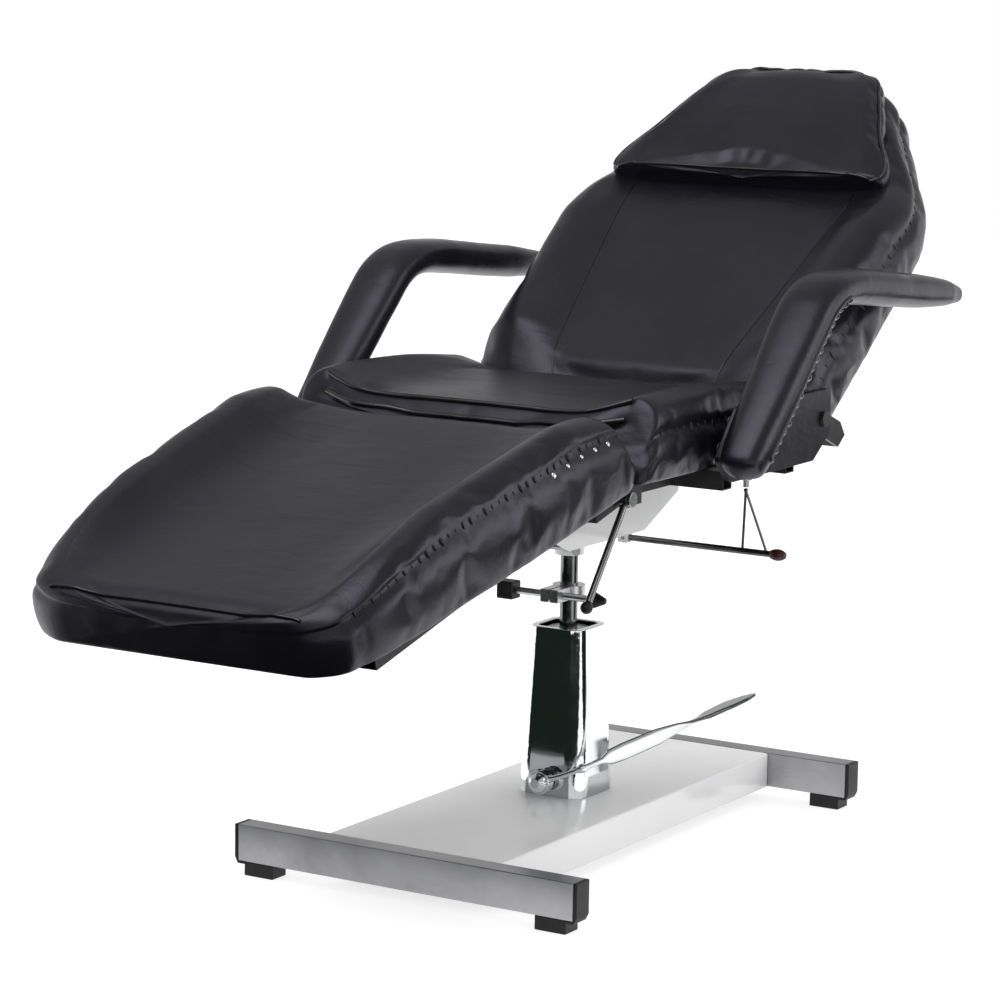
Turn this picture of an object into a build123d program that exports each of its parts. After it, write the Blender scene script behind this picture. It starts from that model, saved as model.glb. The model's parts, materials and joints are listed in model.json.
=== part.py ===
"""Hydraulic tattoo chair: three padded sections on a lifting, turning pump and an H shaped base.

Millimetres, +Z up, feet towards -Y, head towards +Y. The origin is on the floor under the pump's axis.
"""
import os

from build123d import *

# Driving dimensions: base
base_front = 420
base_back = 388
bar_length = 520
bar_height = 50
bar_depth = 32
tube_wall = 2
plate_width = 270
plate_wall = 3
foot_height = 19
foot_pad_length = 46
foot_pad_inset = 10
foot_flange = 4
cap_thickness = 6
cap_corner = 9

# Driving dimensions: pump
flange_edge = 7
flange_thickness = 6
block_size = 70
block_height = 34
cylinder_radius = 30
cylinder_bore = 26
cylinder_top = 288
gland_lip = 12
gland_spigot = 12
cover_room = 8
cover_bottom_corner = 26
cover_top_size = 84
cover_top_corner = 20
cover_top = 305
cover_wall = 2
cover_lip = 9
rod_radius = 12.5
rod_top = 474
piston_height = 12
piston_stud = 6
piston_stud_height = 14
down_travel = 35
up_travel = 115
stop_room = 2
running_gap = 0.05
face_gap = 0.3

# Driving dimensions: flange bolts and pedal
flange_bolt_gap = 8
flange_bolt_radius = 4
flange_bolt_head = 6.5
bolt_head_height = 4
axle_radius = 8
axle_height = 93
axle_depth = 16
boss_radius = 14
hub_radius = 17
hub_width = 14
boss_length = 6
axle_head_length = 9
arm_radius = 8.5
knee_x = 64
knee_rise = 31
knee_bend = 26
tip_x = 213
tip_y = 156
tip_rise = 107
tread_length = 92
tread_half_width = 15
tread_half_thickness = 3.5

# Driving dimensions: stop collar and socket
collar_height = 352
collar_radius = 23
collar_thickness = 18
lug_reach = 54
lug_half_width = 14
lug_slot = 3
clamp_bar_offset = 42
clamp_bar_radius = 5
clamp_bar_left = 60
clamp_bar_right = 64
block_grip = 25
cone_length = 19
cone_radius = 12
cone_tip_radius = 4
socket_radius = 21
socket_bottom = 404
lock_height = 413
lock_screw_radius = 3
lock_screw_out = 7
lock_knob_radius = 6
lock_knob_length = 10

# Driving dimensions: saddle
saddle_bottom = 428
saddle_plate = 4
saddle_half_width = 60
saddle_side = 3
saddle_floor_half = 104
saddle_wing = 200
saddle_wing_low = 472
saddle_wing_high = 486
saddle_top_front = 188
saddle_top_back = 132

# Driving dimensions: seat
seat_front = 289
seat_back = 131
seat_half_width = 283
seat_bottom = 558
seat_top = 636
bolster_height = 30
bolster_width = 84
side_draw = 9
seat_crown = 3
board_thickness = 15
board_inset = 15
frame_tube = 25
frame_rail_x = 200
seat_front_cross = 264
seat_mid_cross = 90
seat_rear_cross = 90

# Driving dimensions: leg rest
leg_pivot_y = -300
leg_pivot_z = 545
leg_drop = 14.4
leg_rear = 10
leg_length = 616
leg_top = 86
leg_bolster_height = 48
leg_crown = 3
leg_front_half_width = 241
leg_ear_x = 240
ear_thickness = 6
ear_gap = 1
ear_radius = 12
leg_pin_radius = 6
pin_head_radius = 10
pin_head_height = 5
leg_cross_near = 45
leg_cross_far = 430
leg_rail_end = 520

# Driving dimensions: leg clamp lever
lever_hub_radius = 11
lever_hub_width = 10
lever_radius = 4.5
lever_length = 158
lever_angle = 52.5
lever_ball_radius = 8

# Driving dimensions: back
back_pivot_y = 165
back_pivot_z = 600
back_raise = 36
back_start = 2
back_length = 690
back_top = 31
back_bottom = -60
back_bolster_height = 27
back_crown = 3
back_ear_thickness = 4
back_ear_radius = 16
back_pin_radius = 7
back_cross_near = 45
back_cross_far = 420
back_rail_x = 130
back_rail_end = 560
back_pin_head_radius = 12
washer_radius = 15
washer_room = 2

# Driving dimensions: head pillow
pillow_start = 436
pillow_end = 678
pillow_half_width = 226
pillow_low = 28
pillow_front_top = 57
pillow_mid_top = 72
pillow_crown = 7
pillow_roll = 60

# Driving dimensions: side boards and arms
side_board_gap = 8
side_board_thickness = 12
side_board_back = 185
side_board_low = 545
side_board_high = 640
side_board_corner = 8
side_board_setback = 16
side_board_toe = 32
side_board_heel = 50
side_board_heel_rise = 33
arm_front = -165
arm_length = 655
arm_low = 552
arm_height = 262
arm_foot_round = 18
arm_elbow_round = 48
arm_tip_round = 13
arm_crook_round = 30
arm_board_thickness = 12
arm_pad_width = 59
arm_board_margin = 7
arm_edge = 12
arm_bolt_radius = 4
arm_bolt_head = 8
arm_bolt_head_height = 2

# Driving dimensions: back release
release_y = 90
release_z = 418
release_pivot_x = 36
release_radius = 4.5
release_end_x = 266
release_eye_radius = 8
release_eye_thickness = 5.4
release_pin_radius = 3
clevis_cheek = 3
clevis_half_width = 8
clevis_drop = 17
clevis_clearance = 1
knob_radius = 8
knob_length = 22
stirrup_radius = 1.9
stirrup_top = 503
stirrup_top_x = 225
stirrup_inner_x = 222
stirrup_outer_x = 260
plunger_radius = 4
plunger_bottom = 507
plunger_top = 545
bush_radius = 8
bush_length = 16

# Derived places
bar_top = foot_height + bar_height
flange_bolt_spacing = block_size + flange_bolt_gap
flange_size = flange_bolt_spacing + 2 * flange_edge
cover_bottom_size = flange_size + 2 * cover_room
flange_top = bar_top + flange_thickness
block_top = flange_top + block_height
piston_bottom = block_top + down_travel + stop_room
rod_bottom = piston_bottom + piston_height
frame_bottom = seat_bottom - frame_tube
side_board_x = seat_half_width + side_board_gap
back_ear_x = side_board_x - washer_room - back_ear_thickness
side_board_outer = side_board_x + side_board_thickness
arm_inner_x = side_board_outer + arm_board_thickness
leg_bottom = seat_bottom - leg_pivot_z
overrun = 1

# Corners of an arm's side view as shares of its length and height: foot, elbow, tip, tip, crook, heel
arm_corner_shares = ((0.0, 0.053), (0.33, 1.0), (1.0, 0.786), (1.0, 0.668), (0.336, 0.794), (0.074, 0.0))

leg_frame_plane = Plane(
    origin=(0, leg_pivot_y, leg_pivot_z),
    x_dir=(1, 0, 0),
    z_dir=Vector(0, 0, 1).rotate(Axis.X, leg_drop),
)
back_frame_plane = Plane(
    origin=(0, back_pivot_y, back_pivot_z),
    x_dir=(1, 0, 0),
    z_dir=Vector(0, 0, 1).rotate(Axis.X, back_raise),
)


def within(frame, plane):
    """A plane given in a tilted frame's own coordinates."""
    return Plane(frame.location * plane.location)


def save(builder, label):
    """Label a finished piece and write it."""
    builder.part.label = label
    export_step(builder.part, f"parts/{label}.step")


def welded_tubes(lengthwise, crosswise, size, low):
    """Square tubes joined into one frame: lengthwise (x, y0, y1) and crosswise (y, half length) runs."""
    inner = size - 2 * tube_wall
    with BuildPart() as frame:
        for x, start, end in lengthwise:
            with BuildSketch(Plane.XY.offset(low)):
                with Locations((x, (start + end) / 2)):
                    Rectangle(size, end - start)
            extrude(amount=size)
        for y, half in crosswise:
            with BuildSketch(Plane.XY.offset(low)):
                with Locations((0, y)):
                    Rectangle(2 * half, size)
            extrude(amount=size)
        for x, start, end in lengthwise:
            with BuildSketch(Plane.XY.offset(low + tube_wall)):
                with Locations((x, (start + end) / 2)):
                    Rectangle(inner, end - start)
            extrude(amount=inner, mode=Mode.SUBTRACT)
        for y, half in crosswise:
            with BuildSketch(Plane.XY.offset(low + tube_wall)):
                with Locations((0, y)):
                    Rectangle(2 * half, inner)
            extrude(amount=inner, mode=Mode.SUBTRACT)
    return frame.part


def pad_section(plane, half, low, flat, crest, roll, draw, crown):
    """One cross section of a pad with a raised roll along each side."""
    crest_rise_share = 0.55
    crest_place_share = 0.42
    foot = (half - draw, low)
    shoulder = (half - draw, flat + crest * crest_rise_share)
    top = (half - roll * crest_place_share, flat + crest)
    valley = (half - roll, flat)
    waist = (half, (low + flat) / 2)

    def left(point):
        return (-point[0], point[1])

    with BuildSketch(plane) as section:
        with BuildLine():
            Line(left(foot), foot)
            ThreePointArc(foot, waist, shoulder)
            ThreePointArc(shoulder, top, valley)
            ThreePointArc(valley, (0, flat + crown), left(valley))
            ThreePointArc(left(valley), left(top), left(shoulder))
            ThreePointArc(left(shoulder), left(waist), left(foot))
        make_face()
    return section.sketch


def base_plate():
    """Box that ties the two cross tubes together, open underneath: a top sheet welded on four side strips."""
    length = base_front + base_back - 2 * bar_depth
    centre = (base_back - base_front) / 2
    strip_height = bar_height - plate_wall
    side_x = (plate_width - plate_wall) / 2
    end_y = (length - plate_wall) / 2
    with BuildPart() as top:
        with BuildSketch(Plane.XY.offset(bar_top)):
            with Locations((0, centre)):
                Rectangle(plate_width, length)
            with GridLocations(flange_bolt_spacing, flange_bolt_spacing, 2, 2):
                Circle(flange_bolt_radius, mode=Mode.SUBTRACT)
        extrude(amount=-plate_wall)
    sheets = [top.part.solid()]
    strip_places = (
        (side_x, centre, plate_wall, length),
        (-side_x, centre, plate_wall, length),
        (0, centre - end_y, plate_width - 2 * plate_wall, plate_wall),
        (0, centre + end_y, plate_width - 2 * plate_wall, plate_wall),
    )
    for x, y, wide, deep in strip_places:
        with BuildPart() as strip:
            with BuildSketch(Plane.XY.offset(foot_height)):
                with Locations((x, y)):
                    Rectangle(wide, deep)
            extrude(amount=strip_height)
        sheets.append(strip.part.solid())
    box = Compound(sheets)
    box.label = "base_plate"
    export_step(box, "parts/base_plate.step")


def crossbars():
    """Rectangular tubes across the front and the rear of the base."""
    front_y = -base_front + bar_depth / 2
    rear_y = base_back - bar_depth / 2
    for label, y in (("front_crossbar", front_y), ("rear_crossbar", rear_y)):
        with BuildPart() as bar:
            with BuildSketch(Plane.YZ.offset(-bar_length / 2)):
                with Locations((y, foot_height + bar_height / 2)):
                    Rectangle(bar_depth, bar_height)
                    Rectangle(bar_depth - 2 * tube_wall, bar_height - 2 * tube_wall, mode=Mode.SUBTRACT)
            extrude(amount=bar_length)
        save(bar, label)


def end_feet():
    """Moulded end caps of the cross tubes, each with a pad that stands on the floor."""
    half = bar_length / 2
    pad_outer = half - foot_pad_inset
    pad_inner = pad_outer - foot_pad_length
    with BuildPart() as feet:
        for y in (-base_front + bar_depth / 2, base_back - bar_depth / 2):
            for side in (-1, 1):
                with BuildSketch(Plane.XZ.offset(bar_depth / 2 - y)):
                    with BuildLine():
                        Polyline(
                            (side * half, bar_top),
                            (side * (half + cap_thickness), bar_top),
                            (side * (half + cap_thickness), foot_height - foot_flange + cap_corner),
                            (side * (half + cap_thickness - cap_corner / 2), foot_height - foot_flange),
                            (side * pad_outer, foot_height - foot_flange),
                            (side * pad_outer, 0),
                            (side * pad_inner, 0),
                            (side * pad_inner, foot_height),
                            (side * half, foot_height),
                            close=True,
                        )
                    make_face()
                extrude(amount=-bar_depth)
    save(feet, "bar_end_feet")


def pump_flange():
    """Steel foot plate of the pump."""
    with BuildPart() as flange:
        with BuildSketch(Plane.XY.offset(bar_top)):
            RectangleRounded(flange_size, flange_size, flange_bolt_head)
            with GridLocations(flange_bolt_spacing, flange_bolt_spacing, 2, 2):
                Circle(flange_bolt_radius, mode=Mode.SUBTRACT)
        extrude(amount=flange_thickness)
    save(flange, "pump_flange")


def flange_bolts():
    """Four bolts through the flange and the base plate."""
    shank = flange_thickness + plate_wall
    with BuildPart() as bolts:
        with BuildSketch(Plane.XY.offset(bar_top - plate_wall)):
            with GridLocations(flange_bolt_spacing, flange_bolt_spacing, 2, 2):
                Circle(flange_bolt_radius)
        extrude(amount=shank)
        with BuildSketch(Plane.XY.offset(flange_top)):
            with GridLocations(flange_bolt_spacing, flange_bolt_spacing, 2, 2):
                RegularPolygon(flange_bolt_head, 6)
        extrude(amount=bolt_head_height)
    save(bolts, "pump_bolts")


def pump_cylinder():
    """Pump block with the lifting cylinder standing on it."""
    with BuildPart() as cylinder:
        with BuildSketch(Plane.XY.offset(flange_top)):
            RectangleRounded(block_size, block_size, block_size / 8)
        extrude(amount=block_height)
        with BuildSketch(Plane.XY.offset(block_top)):
            Circle(cylinder_radius)
            Circle(cylinder_bore, mode=Mode.SUBTRACT)
        extrude(amount=cylinder_top - block_top)
        with BuildSketch(Plane.XZ.offset(block_size / 2)):
            with Locations((0, axle_height)):
                Circle(axle_radius)
        extrude(amount=-axle_depth, mode=Mode.SUBTRACT)
    save(cylinder, "pump_cylinder")


def pump_gland():
    """Bushing in the cylinder's mouth that guides the rod."""
    with BuildPart() as gland:
        with BuildSketch(Plane.XY.offset(cylinder_top)):
            Circle(cylinder_radius)
        extrude(amount=gland_lip)
        with BuildSketch(Plane.XY.offset(cylinder_top)):
            Circle(cylinder_bore)
        extrude(amount=-gland_spigot)
        with BuildSketch(Plane.XY.offset(cylinder_top + gland_lip)):
            Circle(rod_radius + running_gap)
        extrude(amount=-(gland_lip + gland_spigot), mode=Mode.SUBTRACT)
    save(gland, "pump_gland")


def cover_size_at(height):
    """Width of the tapered pump cover at a height."""
    share = (height - bar_top) / (cover_top - bar_top)
    return cover_bottom_size + (cover_top_size - cover_bottom_size) * share


def pump_cover():
    """Pressed cover round the pump: rounded square, tapering to an open rim."""
    with BuildPart() as cover:
        with BuildSketch(Plane.XY.offset(bar_top)):
            RectangleRounded(cover_bottom_size, cover_bottom_size, cover_bottom_corner)
        with BuildSketch(Plane.XY.offset(cover_top)):
            RectangleRounded(cover_top_size, cover_top_size, cover_top_corner)
        loft()
        with BuildSketch(Plane.XY.offset(bar_top)):
            RectangleRounded(
                cover_bottom_size - 2 * cover_wall,
                cover_bottom_size - 2 * cover_wall,
                cover_bottom_corner - cover_wall,
            )
        with BuildSketch(Plane.XY.offset(cover_top - cover_wall)):
            RectangleRounded(
                cover_top_size - 2 * cover_wall, cover_top_size - 2 * cover_wall, cover_top_corner - cover_wall
            )
        loft(mode=Mode.SUBTRACT)
        with BuildSketch(Plane.XY.offset(cover_top)):
            RectangleRounded(
                cover_top_size - 2 * cover_lip, cover_top_size - 2 * cover_lip, cover_top_corner - cover_lip
            )
        extrude(amount=-2 * cover_wall, mode=Mode.SUBTRACT)
        with BuildSketch(Plane.XZ.offset(cover_bottom_size / 2)):
            with Locations((0, axle_height)):
                Circle(axle_radius + cover_wall)
        extrude(amount=-cover_bottom_size / 4, mode=Mode.SUBTRACT)
    save(cover, "pump_cover")


def pedal_axle():
    """Axle out of the pump block's front, with the sleeve that spaces the pedal from the cover."""
    sleeve_start = cover_size_at(axle_height) / 2 + cover_wall
    sleeve_end = sleeve_start + boss_length
    head_start = sleeve_end + hub_width + 2 * face_gap
    with BuildPart() as axle:
        with BuildSketch(Plane.XZ.offset(block_size / 2 - axle_depth)):
            with Locations((0, axle_height)):
                Circle(axle_radius)
        extrude(amount=head_start - block_size / 2 + axle_depth)
        head_shares = ((0.0, 1.0), (0.5, 0.88), (1.0, 0.5))
        for place, wide in head_shares:
            with BuildSketch(Plane.XZ.offset(head_start + axle_head_length * place)):
                with Locations((0, axle_height)):
                    Circle(boss_radius * wide)
        loft(ruled=True)
    save(axle, "pedal_axle")
    with BuildPart() as sleeve:
        with BuildSketch(Plane.XZ.offset(sleeve_start)):
            with Locations((0, axle_height)):
                Circle(boss_radius)
                Circle(axle_radius, mode=Mode.SUBTRACT)
        extrude(amount=boss_length)
    save(sleeve, "pedal_sleeve")
    return sleeve_end + face_gap


def pedal_lever(hub_start):
    """Bent bar from the hub round the cover's corner, flattened and twisted into a tread."""
    hub_y = -(hub_start + hub_width / 2)
    start = Vector(0, hub_y, axle_height)
    knee = Vector(knee_x, hub_y, axle_height + knee_rise)
    tip = Vector(tip_x, tip_y, axle_height + tip_rise)
    along = (tip - knee).normalized()
    twist = tip - along * tread_length
    outward = (knee - start).normalized()
    root = start + outward * (boss_radius + 2 * face_gap)
    flat_dir = along.cross(Vector(0, 0, 1)).normalized()
    with BuildPart() as lever:
        with BuildLine():
            FilletPolyline(root, knee, twist, radius=knee_bend)
        with BuildSketch(Plane(origin=root, z_dir=outward)):
            Circle(arm_radius)
        sweep()
        with BuildSketch(Plane.XZ.offset(hub_start)):
            with Locations((0, axle_height)):
                Circle(hub_radius)
        extrude(amount=hub_width)
        with BuildSketch(Plane(origin=twist, x_dir=flat_dir, z_dir=along)):
            Circle(arm_radius)
        tread_shares = ((0.28, 0.8, 1.3), (0.7, 1.0, 1.0), (1.0, 0.45, 0.7))
        for place, wide, thick in tread_shares:
            with BuildSketch(Plane(origin=twist + along * tread_length * place, x_dir=flat_dir, z_dir=along)):
                Ellipse(tread_half_width * wide, tread_half_thickness * thick)
        loft()
        with BuildSketch(Plane.XZ.offset(hub_start - overrun)):
            with Locations((0, axle_height)):
                Circle(axle_radius + running_gap)
        extrude(amount=hub_width + 2 * overrun, mode=Mode.SUBTRACT)
    save(lever, "pedal_lever")


def ram_piston():
    """Piston in the cylinder, with the stud that the rod turns on."""
    with BuildPart() as piston:
        with BuildSketch(Plane.XY.offset(piston_bottom)):
            Circle(cylinder_bore - running_gap)
        extrude(amount=piston_height)
        with BuildSketch(Plane.XY.offset(rod_bottom)):
            Circle(piston_stud)
        extrude(amount=piston_stud_height)
        with BuildSketch(Plane.XY.offset(piston_bottom + piston_height / 3)):
            Circle(cylinder_bore)
            Circle(cylinder_bore - piston_height / 4, mode=Mode.SUBTRACT)
        extrude(amount=piston_height / 3, mode=Mode.SUBTRACT)
    save(piston, "ram_piston")
    with BuildPart() as seal:
        with BuildSketch(Plane.XY.offset(piston_bottom + piston_height / 3)):
            Circle(cylinder_bore - running_gap)
            Circle(cylinder_bore - piston_height / 4, mode=Mode.SUBTRACT)
        extrude(amount=piston_height / 3)
    save(seal, "piston_seal")


def piston_rod():
    """Polished rod that lifts the bed and turns with it."""
    with BuildPart() as rod:
        with BuildSketch(Plane.XY.offset(rod_bottom + face_gap)):
            Circle(rod_radius)
        extrude(amount=rod_top - rod_bottom - face_gap)
        with BuildSketch(Plane.XY.offset(rod_bottom)):
            Circle(piston_stud + running_gap)
        extrude(amount=piston_stud_height + face_gap, mode=Mode.SUBTRACT)
    save(rod, "piston_rod")


def stop_collar():
    """Split collar clamped on the rod, with two lugs for the clamp bar."""
    low = collar_height - collar_thickness / 2
    with BuildPart() as collar:
        with BuildSketch(Plane.XY.offset(low)):
            Circle(collar_radius)
            with Locations((0, -lug_reach / 2)):
                Rectangle(2 * lug_half_width, lug_reach)
            Circle(rod_radius, mode=Mode.SUBTRACT)
            with Locations((0, -(lug_reach + overrun) / 2)):
                Rectangle(lug_slot, lug_reach + overrun, mode=Mode.SUBTRACT)
        extrude(amount=collar_thickness)
        with BuildSketch(Plane.YZ.offset(-lug_half_width - overrun)):
            with Locations((-clamp_bar_offset, collar_height)):
                Circle(clamp_bar_radius + running_gap)
        extrude(amount=2 * lug_half_width + 2 * overrun, mode=Mode.SUBTRACT)
    save(collar, "stop_collar")


def clamp_bar():
    """Clamp bar through the collar's lugs, with a block grip and a cone grip."""
    with BuildPart() as bar:
        with BuildSketch(Plane.YZ.offset(-clamp_bar_left)):
            with Locations((-clamp_bar_offset, collar_height)):
                Circle(clamp_bar_radius)
        extrude(amount=clamp_bar_left + clamp_bar_right)
    save(bar, "collar_clamp_bar")
    with BuildPart() as grip:
        with BuildSketch(Plane.YZ.offset(-clamp_bar_left)):
            with Locations((-clamp_bar_offset, collar_height)):
                RectangleRounded(block_grip, block_grip, block_grip / 8)
        extrude(amount=-block_grip)
    save(grip, "clamp_block_grip")
    with BuildPart() as cone:
        with BuildSketch(Plane.YZ.offset(clamp_bar_right)):
            with Locations((-clamp_bar_offset, collar_height)):
                Circle(cone_radius)
        with BuildSketch(Plane.YZ.offset(clamp_bar_right + cone_length)):
            with Locations((-clamp_bar_offset, collar_height)):
                Circle(cone_tip_radius)
        loft()
    save(cone, "clamp_cone_grip")


def lock_plane(distance):
    """Plane across the lock screw's axis, facing out of the socket's front right."""
    out = Vector(1, -1, 0).normalized()
    return Plane(origin=Vector(0, 0, lock_height) + out * distance, z_dir=out)


def head_socket():
    """White tube welded under the saddle that takes the rod's top."""
    with BuildPart() as socket:
        with BuildSketch(Plane.XY.offset(socket_bottom)):
            Circle(socket_radius)
            Circle(rod_radius, mode=Mode.SUBTRACT)
        extrude(amount=rod_top - socket_bottom)
        with BuildSketch(lock_plane(0)):
            Circle(lock_screw_radius + running_gap)
        extrude(amount=socket_radius + overrun, mode=Mode.SUBTRACT)
    save(socket, "head_socket")


def lock_screw():
    """Knurled lock screw in the socket."""
    tip = rod_radius + face_gap
    knob_start = socket_radius + lock_screw_out
    with BuildPart() as screw:
        with BuildSketch(lock_plane(tip)):
            Circle(lock_screw_radius)
        extrude(amount=knob_start - tip)
        with BuildSketch(lock_plane(knob_start)):
            RegularPolygon(lock_knob_radius, 12)
        extrude(amount=lock_knob_length)
    save(screw, "socket_lock_knob")


def saddle():
    """White bracket on the socket: a floor plate and two side plates that carry the seat frame."""
    floor_top = saddle_bottom + saddle_plate
    inner = saddle_half_width - saddle_side
    cheek_inner = release_eye_thickness / 2 + face_gap
    with BuildPart() as bracket:
        with BuildSketch(Plane.XY.offset(saddle_bottom)):
            Rectangle(2 * inner, 2 * saddle_floor_half)
            Circle(socket_radius, mode=Mode.SUBTRACT)
        extrude(amount=saddle_plate)
        for x in (-saddle_half_width, inner):
            with BuildSketch(Plane.YZ.offset(x)):
                with BuildLine():
                    Polyline(
                        (-saddle_floor_half, saddle_bottom),
                        (saddle_floor_half, saddle_bottom),
                        (saddle_wing, saddle_wing_low),
                        (saddle_wing, saddle_wing_high),
                        (saddle_top_back, frame_bottom),
                        (-saddle_top_front, frame_bottom),
                        (-saddle_wing, saddle_wing_high),
                        (-saddle_wing, saddle_wing_low),
                        close=True,
                    )
                make_face()
            extrude(amount=saddle_side)
        for side in (-1, 1):
            middle = release_y + side * (cheek_inner + clevis_cheek / 2)
            with BuildSketch(Plane.XY.offset(saddle_bottom - clevis_drop)):
                with Locations((release_pivot_x, middle)):
                    Rectangle(2 * clevis_half_width, clevis_cheek)
            extrude(amount=clevis_drop)
        with BuildSketch(Plane.XZ.offset(-release_y - cheek_inner - clevis_cheek - overrun)):
            with Locations((release_pivot_x, release_z)):
                Circle(release_pin_radius)
        extrude(amount=2 * (cheek_inner + clevis_cheek + overrun), mode=Mode.SUBTRACT)
    save(bracket, "saddle_bracket")
    with BuildPart() as web:
        with BuildSketch(Plane.XZ.offset(-socket_radius)):
            with Locations((0, (floor_top + frame_bottom) / 2)):
                Rectangle(2 * inner, frame_bottom - floor_top)
        extrude(amount=-saddle_side)
    save(web, "saddle_web")


def ear(pivot, anchor, radius, thickness, plane):
    """Hinge ear: a rounded eye at the pivot drawn out to a rectangle (y0, y1, z0, z1)."""
    y0, y1, z0, z1 = anchor
    with BuildPart() as piece:
        with BuildSketch(plane) as outline:
            with Locations(pivot):
                Circle(radius)
            with Locations(((y0 + y1) / 2, (z0 + z1) / 2)):
                Rectangle(y1 - y0, z1 - z0)
            make_hull()
        extrude(amount=thickness)
    return piece.part


def seat_frame():
    """Welded square tube frame under the seat, with the ears of the leg rest's hinge."""
    tubes = welded_tubes(
        [(-frame_rail_x, -seat_front_cross, seat_rear_cross), (frame_rail_x, -seat_front_cross, seat_rear_cross)],
        [
            (-seat_front_cross, leg_ear_x + ear_thickness + ear_gap),
            (-seat_mid_cross, side_board_x),
            (seat_rear_cross, side_board_x),
        ],
        frame_tube,
        frame_bottom,
    )
    ear_x = leg_ear_x + ear_thickness + ear_gap
    anchor = (
        -seat_front_cross - frame_tube / 2,
        -seat_front_cross + frame_tube / 2,
        frame_bottom,
        seat_bottom,
    )
    right = ear((leg_pivot_y, leg_pivot_z), anchor, ear_radius, ear_thickness, Plane.YZ.offset(ear_x))
    left = ear(
        (leg_pivot_y, leg_pivot_z), anchor, ear_radius, ear_thickness, Plane.YZ.offset(-ear_x - ear_thickness)
    )
    with BuildPart() as frame:
        add(tubes)
        add(right)
        add(left)
        with BuildSketch(Plane.YZ.offset(-ear_x - ear_thickness - overrun)):
            with Locations((leg_pivot_y, leg_pivot_z)):
                Circle(leg_pin_radius)
        extrude(amount=2 * (ear_x + ear_thickness + overrun), mode=Mode.SUBTRACT)
        with BuildSketch(Plane.XY.offset(frame_bottom)):
            with Locations((stirrup_top_x, release_y)):
                Circle(plunger_radius + running_gap)
        extrude(amount=tube_wall, mode=Mode.SUBTRACT)
    save(frame, "seat_frame")


def board_outline(plane, stations, inset, start, end):
    """Plan of a board from (share along the pad, half width) stations."""
    right = [(half - inset, start + (end - start) * share) for share, half in stations]
    left = [(-x, y) for x, y in reversed(right)]
    with BuildSketch(plane) as outline:
        with BuildLine():
            Polyline(*right, *left, close=True)
        make_face()
    return outline.sketch


def seat_pad():
    """Seat board and the upholstered seat cushion that wraps it."""
    board_start = -seat_front + board_inset
    board_end = seat_back - board_inset
    board_half = seat_half_width - 2 * board_inset
    with BuildPart() as board:
        with BuildSketch(Plane.XY.offset(seat_bottom)):
            with Locations((0, (board_start + board_end) / 2)):
                Rectangle(2 * board_half, board_end - board_start)
        extrude(amount=board_thickness)
    save(board, "seat_board")
    height = seat_top - seat_bottom
    length = seat_front + seat_back
    station_shares = (
        (0.0, 0.975, 0.72, 0.3),
        (0.07, 0.995, 0.985, 0.9),
        (0.2, 1.0, 1.0, 1.0),
        (0.8, 1.0, 1.0, 0.62),
        (0.93, 0.99, 0.96, 0.45),
        (1.0, 0.965, 0.6, 0.15),
    )
    sections = [
        pad_section(
            Plane.XZ.offset(seat_front - length * place),
            seat_half_width * wide,
            seat_bottom,
            seat_bottom + height * high,
            bolster_height * crest,
            bolster_width,
            side_draw,
            seat_crown,
        )
        for place, wide, high, crest in station_shares
    ]
    with BuildPart() as cushion:
        loft(sections)
        with BuildSketch(Plane.XY.offset(seat_bottom)):
            with Locations((0, (board_start + board_end) / 2)):
                Rectangle(2 * board_half, board_end - board_start)
        extrude(amount=board_thickness, mode=Mode.SUBTRACT)
    save(cushion, "seat_cushion")


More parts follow.
